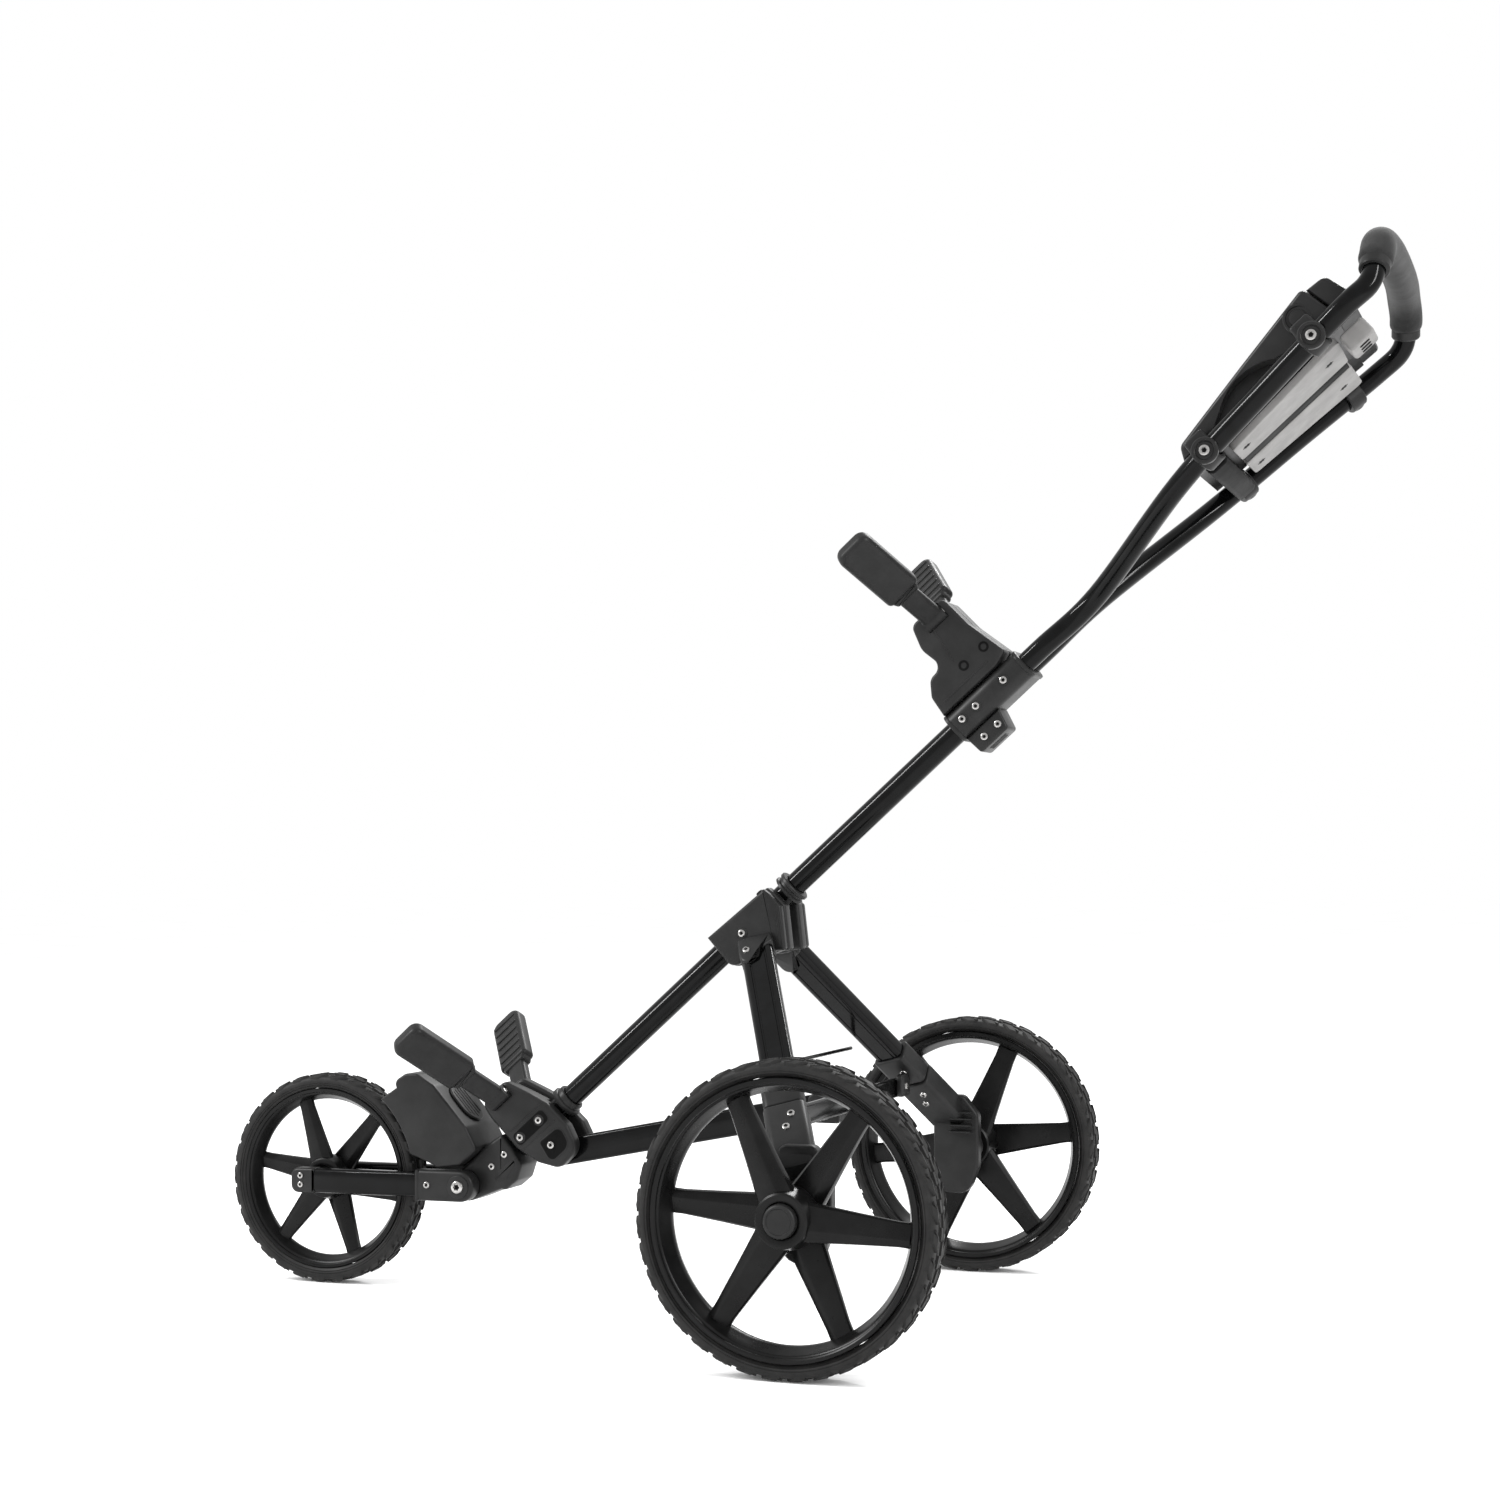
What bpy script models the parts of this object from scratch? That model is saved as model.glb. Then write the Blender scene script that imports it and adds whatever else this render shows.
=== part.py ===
"""Three-wheel folding golf push trolley: frame, joints and every separate piece.

Metres, +Z up.  -X is the direction of travel, -Y is the trolley's left side.
The origin is on the ground below the middle of the whole trolley.
"""

import math

import bmesh
import bpy
from mathutils import Matrix, Vector

# ---------------------------------------------------------------- driving dimensions
WHEELBASE = 0.680
TRACK = 0.668  # between the middles of the rear tyres
REAR_RADIUS = 0.150
FRONT_RADIUS = 0.120
REAR_AXLE_X = 0.1252  # puts the origin below the middle of the overall length
FRONT_AXLE_X = REAR_AXLE_X - WHEELBASE

TUBE_ANGLE = math.radians(41.9)  # rise of the main tubes
TUBE_RADIUS = 0.0125
TUBE_WALL = 0.0015
HANDLE_RADIUS = 0.011
GRIP_RADIUS = 0.0170
KNEE_X = REAR_AXLE_X - 0.160
KNEE_Z = 0.4135

GAP = 0.0003  # clearance between faces that rest on each other
PLAY = 0.0006  # clearance round a turning piece
CHEEK_IN = TUBE_RADIUS + PLAY  # inner faces of the plastic shells that straddle a tube
CHEEK_OUT = 0.030
WHEEL_STEPS = 36

# ---------------------------------------------------------------- scene and materials
for old in list(bpy.data.objects):
    bpy.data.objects.remove(old)

TROLLEY = bpy.data.collections.new("golf_trolley")
CUTTERS = bpy.data.collections.new("cutters")
for collection in (TROLLEY, CUTTERS):
    bpy.context.scene.collection.children.link(collection)


def material(name, colour, roughness, metallic=0.0):
    made = bpy.data.materials.new(name)
    made.use_nodes = True
    shader = made.node_tree.nodes["Principled BSDF"]
    shader.inputs["Base Color"].default_value = (*colour, 1.0)
    shader.inputs["Roughness"].default_value = roughness
    shader.inputs["Metallic"].default_value = metallic
    return made


BLACK_PAINT = material("black_paint", (0.012, 0.012, 0.013), 0.25, 0.3)
DARK_PLASTIC = material("dark_plastic", (0.030, 0.030, 0.032), 0.50)
TYRE_RUBBER = material("tyre_rubber", (0.020, 0.020, 0.020), 0.80)
FOAM = material("grip_foam", (0.045, 0.045, 0.046), 0.90)
PAD_RUBBER = material("pad_rubber", (0.035, 0.035, 0.036), 0.70)
STEEL = material("steel", (0.60, 0.60, 0.60), 0.30, 1.0)
GREY_PLASTIC = material("grey_plastic", (0.55, 0.55, 0.53), 0.50)


# ---------------------------------------------------------------- placing
def frame_point(along, above=0.0, y=0.0):
    """A point given along the main tubes' line and above it, from the knee."""
    rise, run = math.sin(TUBE_ANGLE), math.cos(TUBE_ANGLE)
    return Vector((KNEE_X + along * run - above * rise, y, KNEE_Z + along * rise + above * run))


def place(origin, x_axis, y_axis):
    """A matrix with this origin and these two directions as local X and Y."""
    x_axis = Vector(x_axis).normalized()
    z_axis = x_axis.cross(Vector(y_axis)).normalized()
    y_axis = z_axis.cross(x_axis)
    turned = Matrix((x_axis, y_axis, z_axis)).transposed().to_4x4()
    return Matrix.Translation(origin) @ turned


ALONG = (frame_point(1.0) - frame_point(0.0)).normalized()
ABOVE = (frame_point(0.0, 1.0) - frame_point(0.0)).normalized()


def side_plane(y, origin=None):
    """Local X along the main tubes, local Y above them; local Z is towards -Y."""
    start = frame_point(0.0) if origin is None else Vector(origin)
    return place((start.x, y, start.z), ALONG, ABOVE)


def upright_plane(x, y, z):
    """Local X and Y are the world's X and Z; local Z is towards -Y."""
    return place((x, y, z), (1, 0, 0), (0, 0, 1))


# ---------------------------------------------------------------- shape helpers
def add(name, data, matrix, surface, helper=False):
    made = bpy.data.objects.new(name, data)
    made.matrix_world = matrix
    (CUTTERS if helper else TROLLEY).objects.link(made)
    if helper:
        made.hide_render = True
        made.display_type = "WIRE"
    if surface:
        data.materials.append(surface)
    return made


def as_mesh(made):
    """The same object with its evaluated shape as one welded mesh."""
    bpy.context.view_layer.update()
    evaluated = made.evaluated_get(bpy.context.evaluated_depsgraph_get())
    mesh = bpy.data.meshes.new_from_object(evaluated)
    shape = bmesh.new()
    shape.from_mesh(mesh)
    bmesh.ops.remove_doubles(shape, verts=shape.verts, dist=1e-6)
    bmesh.ops.recalc_face_normals(shape, faces=shape.faces)
    shape.to_mesh(mesh)
    shape.free()
    name, matrix = made.name, made.matrix_world.copy()
    helper = made.hide_render
    bpy.data.objects.remove(made)
    return add(name, mesh, matrix, None, helper)


def boolean(made, other, operation="DIFFERENCE"):
    modifier = made.modifiers.new(operation.lower(), "BOOLEAN")
    modifier.operation = operation
    modifier.solver = "EXACT"
    modifier.object = other
    return made


def rounded(corners, steps=2):
    """The outline of (x, y, radius) corners with each corner as an arc."""
    outline = []
    count = len(corners)
    for index, (x, y, radius) in enumerate(corners):
        here = Vector((x, y))
        back = (Vector(corners[index - 1][:2]) - here).normalized()
        ahead = (Vector(corners[(index + 1) % count][:2]) - here).normalized()
        if radius <= 0:
            outline.append(here)
            continue
        half = back.angle(ahead) / 2
        centre = here + (back + ahead).normalized() * (radius / math.sin(half))
        start = here + back * (radius / math.tan(half)) - centre
        end = here + ahead * (radius / math.tan(half)) - centre
        sweep = start.angle_signed(end)
        for step in range(steps + 1):
            outline.append(centre + Matrix.Rotation(-sweep * step / steps, 2) @ start)
    return outline


def arc(centre, radius, start_deg, end_deg, steps=6):
    turns = [math.radians(start_deg + (end_deg - start_deg) * i / steps) for i in range(steps + 1)]
    return [Vector((centre[0] + radius * math.cos(t), centre[1] + radius * math.sin(t))) for t in turns]


def plate(name, outlines, thickness, matrix, surface, edge=0.0, helper=False):
    """A flat plate centred on local Z; outlines after the first are holes."""
    curve = bpy.data.curves.new(name, "CURVE")
    curve.dimensions = "2D"
    curve.fill_mode = "BOTH"
    curve.extrude = thickness / 2 - edge
    curve.bevel_depth = edge
    curve.bevel_resolution = 0
    curve.offset = -edge
    for outline in outlines:
        spline = curve.splines.new("POLY")
        spline.points.add(len(outline) - 1)
        for point, (x, y) in zip(spline.points, outline):
            point.co = (x, y, 0, 1)
        spline.use_cyclic_u = True
    return as_mesh(add(name, curve, matrix, surface, helper))


def rod(name, points, radius, surface, sides=1, helper=False):
    """A solid round bar through the points."""
    curve = bpy.data.curves.new(name, "CURVE")
    curve.dimensions = "3D"
    curve.bevel_depth = radius
    curve.bevel_resolution = sides
    curve.use_fill_caps = True
    spline = curve.splines.new("POLY")
    spline.points.add(len(points) - 1)
    for point, place_at in zip(spline.points, points):
        point.co = (*place_at, 1)
    return as_mesh(add(name, curve, Matrix.Identity(4), surface, helper))


def cylinder(name, start, end, radius, surface, segments=14, helper=False):
    start, end = Vector(start), Vector(end)
    shape = bmesh.new()
    bmesh.ops.create_cone(
        shape, cap_ends=True, segments=segments, radius1=radius, radius2=radius, depth=(end - start).length
    )
    mesh = bpy.data.meshes.new(name)
    shape.to_mesh(mesh)
    shape.free()
    turn = (end - start).to_track_quat("Z", "Y").to_matrix().to_4x4()
    return add(name, mesh, Matrix.Translation((start + end) / 2) @ turn, surface, helper)


def block(name, size, matrix, surface, edge=0.0, helper=False, taper=(1.0, 1.0)):
    """A box; taper scales its local Y and Z at the +X end."""
    shape = bmesh.new()
    bmesh.ops.create_cube(shape, size=1.0)
    for vert in shape.verts:
        if vert.co.x > 0:
            vert.co.y *= taper[0]
            vert.co.z *= taper[1]
        vert.co = Vector(a * b for a, b in zip(vert.co, size))
    if edge:
        bmesh.ops.bevel(shape, geom=shape.edges, offset=edge, segments=1, profile=0.5, affect="EDGES")
    mesh = bpy.data.meshes.new(name)
    shape.to_mesh(mesh)
    shape.free()
    return add(name, mesh, matrix, surface, helper)


def turned(name, profile, matrix, surface, steps=32, closed=True, helper=False):
    """A profile of (radius, height) turned about local Z, its outer side running downwards."""
    mesh = bpy.data.meshes.new(name)
    edges = [(i, i + 1) for i in range(len(profile) - 1)]
    if closed:
        edges.append((len(profile) - 1, 0))
    mesh.from_pydata([(radius, 0, height) for radius, height in profile], edges, [])
    made = add(name, mesh, matrix, surface, helper)
    screw = made.modifiers.new("turn", "SCREW")
    screw.steps = screw.render_steps = steps
    screw.use_merge_vertices = not closed
    screw.merge_threshold = 1e-5
    return as_mesh(made)


def pipe(name, start, end, outer, inner, surface, steps=24):
    """A straight tube that is open at both ends."""
    start, end = Vector(start), Vector(end)
    half = (end - start).length / 2
    turn = (end - start).to_track_quat("Z", "Y").to_matrix().to_4x4()
    profile = [(outer, half), (outer, -half), (inner, -half), (inner, half)]
    return turned(name, profile, Matrix.Translation((start + end) / 2) @ turn, surface, steps)


def hose(name, points, outer, inner, surface, steps=10):
    """A bent tube through the points, open at both ends."""
    rings, previous = [], None
    for index, point in enumerate(points):
        before, after = points[max(index - 1, 0)], points[min(index + 1, len(points) - 1)]
        ahead = (after - before).normalized()
        side = previous if previous else ahead.orthogonal()
        previous = side = (side - ahead * side.dot(ahead)).normalized()
        rings.append((point, side, ahead.cross(side)))
    turns = [math.tau * step / steps for step in range(steps)]
    verts = [point + (side * math.cos(turn) + other * math.sin(turn)) * radius
             for radius in (outer, inner) for point, side, other in rings for turn in turns]
    count, skin = len(rings), len(rings) * steps
    faces = []
    for step in range(steps):
        after = (step + 1) % steps
        for wall in (0, skin):
            for ring in range(count - 1):
                low, high = wall + ring * steps, wall + (ring + 1) * steps
                faces.append((low + step, low + after, high + after, high + step))
        for ring in (0, count - 1):
            rim = ring * steps
            faces.append((rim + step, rim + after, skin + rim + after, skin + rim + step))
    mesh = bpy.data.meshes.new(name)
    mesh.from_pydata(verts, [], faces)
    return as_mesh(add(name, mesh, Matrix.Identity(4), surface))


def finish(made, name, surface):
    """Names the finished piece, applies its Booleans and gives it its material."""
    made = as_mesh(made) if made.modifiers else made
    made.name = name
    made.data.materials.clear()
    made.data.materials.append(surface)
    made.data.shade_smooth()
    made.data.set_sharp_from_angle(angle=math.radians(35))
    return made


def wheel_axis(x, y, z, outward):
    """Local Z along the axle, towards the outside of the wheel."""
    return place((x, y, z), (1, 0, 0), (0, 0, -outward))


# ---------------------------------------------------------------- wheels
class WheelSize:
    def __init__(self, radius, tyre_half, rim_radius, lip_inner, rim_half, hub_radius, hub_half, spoke):
        self.radius, self.tyre_half = radius, tyre_half
        self.rim_radius, self.lip_inner, self.rim_half = rim_radius, lip_inner, rim_half
        self.hub_radius, self.hub_half, self.spoke = hub_radius, hub_half, spoke


AXLE_RADIUS = 0.006
REAR_WHEEL = WheelSize(REAR_RADIUS, 0.0228, 0.1330, 0.1277, 0.0235, 0.0270, 0.0270, (0.034, 0.024, 0.011))
FRONT_WHEEL = WheelSize(FRONT_RADIUS, 0.0180, 0.1030, 0.0986, 0.0160, 0.0230, 0.0165, (0.0265, 0.0185, 0.0078))
SPOKES = 6
LEFT_FIRST_SPOKE = -5.0  # degrees, as the wheel stands
RIGHT_FIRST_SPOKE = -8.0
FRONT_FIRST_SPOKE = -10.0
HUB_CAP_RADIUS = 0.0165
HUB_CAP_DEPTH = 0.006


def make_wheel(prefix, size, matrix, first_spoke, capped=True):
    """Rim with hub and spokes, tyre, and a cap over the axle's end."""
    half, lip = size.rim_half, size.rim_radius
    well = size.lip_inner - 0.009
    barrel = [
        (lip, half), (lip, -half), (size.lip_inner, -half), (well, -half * 0.45), (well, half * 0.45),
        (size.lip_inner, half),
    ]
    rim = turned(prefix + "_rim_ring", barrel, matrix, None, WHEEL_STEPS)
    bore = AXLE_RADIUS + PLAY
    root, tip, depth = size.spoke
    inner = root * 0.90  # where neighbouring spokes are just apart
    core, core_half = math.hypot(inner, root / 2) + 0.0012, depth + 0.001
    hub_profile = [
        (size.hub_radius, size.hub_half), (size.hub_radius, core_half), (core, core_half), (core, -core_half),
        (size.hub_radius, -core_half), (size.hub_radius, -size.hub_half), (bore, -size.hub_half), (bore, size.hub_half),
    ]
    hub = turned(prefix + "_hub", hub_profile, matrix, None, 30, helper=True)
    boolean(rim, hub, "UNION")
    outer = well + 0.0020
    for number in range(SPOKES):
        angle = math.radians(first_spoke) + math.tau * number / SPOKES
        turn = Matrix.Rotation(angle, 4, "Z") @ Matrix.Translation(((inner + outer) / 2, 0, 0))
        spoke = block(
            f"{prefix}_spoke_{number}", (outer - inner, root, depth * 2), matrix @ turn, None, helper=True,
            taper=(tip / root, 0.8),
        )
        boolean(rim, spoke, "UNION")
    finish(rim, prefix + "_rim", BLACK_PAINT)

    radius, side, bead = size.radius, size.tyre_half, size.rim_radius + GAP
    wall = radius - bead
    section = [
        (bead, side * 0.80), (bead + wall * 0.40, side), (bead + wall * 0.86, side * 0.88), (radius, side * 0.30),
        (radius, -side * 0.30), (bead + wall * 0.86, -side * 0.88), (bead + wall * 0.40, -side), (bead, -side * 0.80),
    ]
    finish(turned(prefix + "_tyre_ring", section, matrix, None, WHEEL_STEPS), prefix + "_tyre", TYRE_RUBBER)

    if capped:
        top = size.hub_half + GAP
        profile = [(0, top + HUB_CAP_DEPTH), (HUB_CAP_RADIUS * 0.8, top + HUB_CAP_DEPTH),
                   (HUB_CAP_RADIUS, top + HUB_CAP_DEPTH * 0.6), (HUB_CAP_RADIUS, top), (0, top)]
        finish(turned(prefix + "_cap", profile, matrix, None, 24, closed=False), prefix + "_hub_cap", DARK_PLASTIC)


for side_name, side, first_spoke in (("left", -1, LEFT_FIRST_SPOKE), ("right", 1, RIGHT_FIRST_SPOKE)):
    axis = wheel_axis(REAR_AXLE_X, side * TRACK / 2, REAR_RADIUS, side)
    make_wheel(side_name + "_wheel", REAR_WHEEL, axis, first_spoke)
make_wheel("front_wheel", FRONT_WHEEL, wheel_axis(FRONT_AXLE_X, 0, FRONT_RADIUS, -1), FRONT_FIRST_SPOKE, False)

# ---------------------------------------------------------------- front fork
FORK_Y = 0.0345  # middle of each fork arm
FORK_ARM_WIDE = 0.016
FORK_ARM_TALL = 0.028
FORK_PIVOT = frame_point(-0.4424, 0.0045)
FORK_ARM_END_X = FORK_PIVOT.x - 0.054
FORK_CAP_X = FRONT_AXLE_X + 0.004
FORK_NOSE_X = FRONT_AXLE_X - 0.0275
SLEEVE_TALL = 0.035
SLEEVE_WIDE = 0.021
FORK_BOLT_RADIUS = 0.004
FORK_SLOPE = math.atan2(FORK_PIVOT.z - FRONT_RADIUS, FORK_PIVOT.x - FRONT_AXLE_X)


def fork_plane(x, y):
    """Upright plane whose local X follows the fork arms from the axle to the pivot."""
    direction = Vector((math.cos(FORK_SLOPE), 0, math.sin(FORK_SLOPE)))
    z = FRONT_RADIUS + (x - FRONT_AXLE_X) * math.tan(FORK_SLOPE)
    return place((x, y, z), direction, (0, 0, 1))


def capsule(length, height, front_radius, rear_radius, steps=3):
    """A bar outline from X = 0 to X = length with its corners rounded."""
    half = height / 2
    return rounded(
        [(0, -half, front_radius), (length, -half, rear_radius), (length, half, rear_radius), (0, half, front_radius)],
        steps,
    )


def make_fork():
    arm_length = FORK_ARM_END_X - FORK_CAP_X + 0.030
    for side_name, side in (("left", -1), ("right", 1)):
        y = side * FORK_Y
        outline = capsule(arm_length, FORK_ARM_TALL, 0.0, 0.0)
        arm = plate("arm", [outline], FORK_ARM_WIDE, fork_plane(FORK_CAP_X, y), None, edge=0.004)
        hole = cylinder("axle_hole", (FRONT_AXLE_X, -0.08, FRONT_RADIUS), (FRONT_AXLE_X, 0.08, FRONT_RADIUS),
                        AXLE_RADIUS + GAP, None, helper=True)
        finish(boolean(arm, hole), "fork_arm_" + side_name, BLACK_PAINT)

        nose = FORK_CAP_X - GAP - FORK_NOSE_X
        outline = capsule(nose, FORK_ARM_TALL, 0.006, 0.0)
        cap = plate("cap", [outline], FORK_ARM_WIDE + 0.001, fork_plane(FORK_NOSE_X, y), None, edge=0.003)
        finish(boolean(cap, hole), "fork_end_cap_" + side_name, DARK_PLASTIC)

        length = FORK_PIVOT.x - FORK_ARM_END_X + SLEEVE_TALL / 2
        outline = capsule(length, SLEEVE_TALL, 0.004, SLEEVE_TALL * 0.48, 4)
        sleeve = plate("sleeve", [outline], SLEEVE_WIDE, fork_plane(FORK_ARM_END_X, y + side * 0.0005), None, edge=0.003)
        socket = block("socket", (0.062 + 2 * GAP, FORK_ARM_TALL + 2 * GAP, FORK_ARM_WIDE + 2 * GAP),
                       fork_plane(FORK_ARM_END_X, y), None, helper=True)
        bolt_hole = cylinder("bolt_hole", FORK_PIVOT + Vector((0, -0.08, 0)), FORK_PIVOT + Vector((0, 0.08, 0)),
                             FORK_BOLT_RADIUS + GAP, None, helper=True)
        boolean(sleeve, socket)
        finish(boolean(sleeve, bolt_hole), "fork_sleeve_" + side_name, DARK_PLASTIC)

    reach = FORK_Y + 0.0135
    bolt = cylinder("bolt", FORK_PIVOT - Vector((0, reach, 0)), FORK_PIVOT + Vector((0, reach, 0)),
                    FORK_BOLT_RADIUS, None)
    for side in (-1, 1):
        head = cylinder("bolt_head", FORK_PIVOT + Vector((0, side * (reach - 0.0020), 0)),
                        FORK_PIVOT + Vector((0, side * (reach + 0.003), 0)), 0.0072, None, helper=True)
        boolean(bolt, head, "UNION")
    finish(bolt, "fork_pivot_bolt", STEEL)

    reach = FORK_Y + FORK_ARM_WIDE / 2 + 0.002
    axle = cylinder("axle", (FRONT_AXLE_X, -reach, FRONT_RADIUS), (FRONT_AXLE_X, reach, FRONT_RADIUS), AXLE_RADIUS, None)
    finish(axle, "front_axle", STEEL)


make_fork()

# ---------------------------------------------------------------- lower frame
LOWER_TUBE_END = -0.4300
LOWER_TUBE_TOP = 0.0030


def make_lower_tube():
    tube = pipe("tube", frame_point(LOWER_TUBE_END), frame_point(LOWER_TUBE_TOP), TUBE_RADIUS, TUBE_RADIUS - TUBE_WALL, None)
    finish(tube, "lower_tube", BLACK_PAINT)


NECK_BOLT = -0.4424


def make_neck():
    """The casting that plugs the lower tube's end and carries the fork pivot between the sleeves."""
    half_wide = FORK_Y - SLEEVE_WIDE / 2 - PLAY
    outline = arc((NECK_BOLT, 0.0045), 0.0185, 100, 250, 7)
    outline += [Vector((-0.412, -0.030)), Vector((-0.392, -0.031)), Vector((-0.376, -0.022))]
    outline += [Vector((-0.372, 0.0)), Vector((-0.372, 0.0195)), Vector((-0.395, 0.0225)), Vector((-0.428, 0.0225))]
    neck = plate("neck", [outline], 2 * half_wide, side_plane(0.0), None, edge=0.003)
    bore = cylinder("neck_bore", frame_point(LOWER_TUBE_END - GAP), frame_point(-0.30), TUBE_RADIUS + GAP, None, 24,
                    helper=True)
    bolt_hole = cylinder("neck_hole", FORK_PIVOT + Vector((0, -0.08, 0)), FORK_PIVOT + Vector((0, 0.08, 0)),
                         FORK_BOLT_RADIUS + PLAY, None, helper=True)
    boolean(neck, bore)
    finish(boolean(neck, bolt_hole), "front_neck", DARK_PLASTIC)


BASE_HALF_WIDE = 0.040
WHEEL_CLEARANCE = 0.0085


def make_bag_base():
    """The rest for the bag's foot, curved round the front wheel in side view."""
    wheel = side_plane(0.0).inverted() @ Vector((FRONT_AXLE_X, 0, FRONT_RADIUS))
    outline = arc((wheel.x, wheel.y), FRONT_RADIUS + WHEEL_CLEARANCE, 6, -26, 8)
    outline += [Vector((-0.454, 0.0400)), Vector((-0.428, 0.0228)), Vector((-0.396, 0.0228)), Vector((-0.384, 0.050))]
    outline += [Vector((-0.3905, 0.110))]
    outline += [Vector((-0.400, 0.134)), Vector((-0.412, 0.1435)), Vector((-0.430, 0.1465))]
    base = plate("base", [outline], 2 * BASE_HALF_WIDE, side_plane(0.0), None, edge=0.006)
    finish(base, "bag_base", DARK_PLASTIC)
    up = (Vector((-0.3905, 0.110)) - Vector((-0.384, 0.050))).normalized()
    centre = Vector((-0.3872, 0.080))
    normal = ALONG * up.y - ABOVE * up.x
    face = frame_point(centre.x, centre.y) + normal * 0.0019
    pad = plate("pad", [capsule_centred(0.052, 0.040)], 0.0030, place(face, ALONG * up.x + ABOVE * up.y, (0, 1, 0)),
                None, edge=0.001)
    finish(pad, "bag_base_pad", PAD_RUBBER)


def capsule_centred(length, height, steps=6):
    """A stadium outline centred on the origin, its long side along X."""
    half, flat = height / 2, (length - height) / 2
    return arc((flat, 0), half, -90, 90, steps) + arc((-flat, 0), half, 90, 270, steps)


make_lower_tube()
make_neck()
make_bag_base()

STRUT_PIN = Vector((REAR_AXLE_X - 0.3790, 0, 0.1610))
STRUT_REAR = Vector((REAR_AXLE_X - 0.0780, 0, 0.2205))
STRUT_RATIO = -1.745  # turn of the strut for each degree the legs fold
STRUT_LEAN_ROOM = 0.0032  # space behind the strut's rear end when it hangs down
HOOK_STEPS = 7
HOOK_FOLD = math.radians(9)  # the legs' fold at which the front pin is clear of the hook
STRUT_TALL = 0.030
STRUT_WIDE = 0.020
PIN_RADIUS = 0.004
SCREW_RADIUS = 0.0022


def side_local(point):
    """A world point in the side plane's (along, above)."""
    found = side_plane(0.0).inverted() @ Vector((point[0], 0, point[2]))
    return Vector((found.x, found.y))


def make_lower_bracket():
    """Two shells that clamp the lower tube, carry the strut's front pin and hold the lower arms."""
    pin = side_local(STRUT_PIN)
    cheek = rounded(
        [(-0.3665, -0.020, 0.006), (-0.352, -0.040, 0.010), (-0.336, pin.y - 0.024, 0.014),
         (-0.306, pin.y - 0.014, 0.012), (-0.300, -0.012, 0.008), (-0.306, 0.0170, 0.006), (-0.318, 0.036, 0.010),
         (-0.330, 0.060, 0.010), (-0.3655, 0.0615, 0.012), (-0.3680, 0.030, 0.008)]
    )
    crown = rounded(
        [(-0.3657, 0.0137, 0.002), (-0.3088, 0.0137, 0.002), (-0.3187, 0.0352, 0.010), (-0.3306, 0.0592, 0.010),
         (-0.3649, 0.0607, 0.012), (-0.3673, 0.030, 0.008)]
    )
    pin_hole = cylinder("strut_pin_hole", STRUT_PIN - Vector((0, 0.08, 0)), STRUT_PIN + Vector((0, 0.08, 0)),
                        PIN_RADIUS + GAP, None, helper=True)
    for side_name, side in (("left", -1), ("right", 1)):
        middle = side * (CHEEK_IN + CHEEK_OUT) / 2
        shell = plate("shell", [cheek], CHEEK_OUT - CHEEK_IN, side_plane(middle), None, edge=0.003)
        inner = plate("shell_crown", [crown], CHEEK_IN + 0.006 - GAP, side_plane(side * (CHEEK_IN + 0.006 + GAP) / 2), None,
                      helper=True)
        boolean(shell, inner, "UNION")
        boolean(shell, pocket_for_arm(LOWER_ARM_ROOT, LOWER_ARM_TIP, side))
        finish(boolean(shell, pin_hole), "lower_bracket_" + side_name, DARK_PLASTIC)
    pin = cylinder("pin", STRUT_PIN - Vector((0, CHEEK_OUT + 0.001, 0)), STRUT_PIN + Vector((0, CHEEK_OUT + 0.001, 0)),
                   PIN_RADIUS, None)
    finish(pin, "strut_front_pin", STEEL)


# ---------------------------------------------------------------- bag arms
ARM_ROOT_RADIUS = 0.0085
ARM_SWING = math.radians(25)  # room each way for an arm to swing
ARM_THICK = 0.012
PAD_WIDE = 0.042
PAD_THICK = 0.019
PAD_LENGTH = 0.094
ARM_NECK_WIDE = 0.026
LOWER_ARM_ROOT = (-0.3440, 0.0500, 0.0330)  # along, above, side
LOWER_ARM_TIP = (-0.3440, 0.1500, 0.1330)
UPPER_ARM_ROOT = (0.3800, 0.1000, 0.0250)
UPPER_ARM_TIP = (0.3800, 0.1930, 0.1300)


def arm_point(spec, side):
    return frame_point(spec[0], spec[1], side * spec[2])


def pocket_for_arm(root, tip, side):
    """The space round an arm's barrel, with a mouth as wide as the arm's swing."""
    centre, end = arm_point(root, side), arm_point(tip, side)
    radius, half_thick, reach = ARM_ROOT_RADIUS + PLAY, ARM_THICK / 2 + PLAY, 0.060
    start = math.degrees(ARM_SWING + math.asin(half_thick / radius))
    mouth = reach * math.tan(ARM_SWING) + half_thick / math.cos(ARM_SWING)
    outline = arc((0, 0), radius, start, 360 - start, 10) + [Vector((reach, -mouth)), Vector((reach, mouth))]
    outward = (end - centre).normalized()
    return plate("pocket", [outline], ARM_NECK_WIDE + 2 * PLAY, place(centre, outward, outward.cross(ALONG)), None,
                 helper=True)


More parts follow.
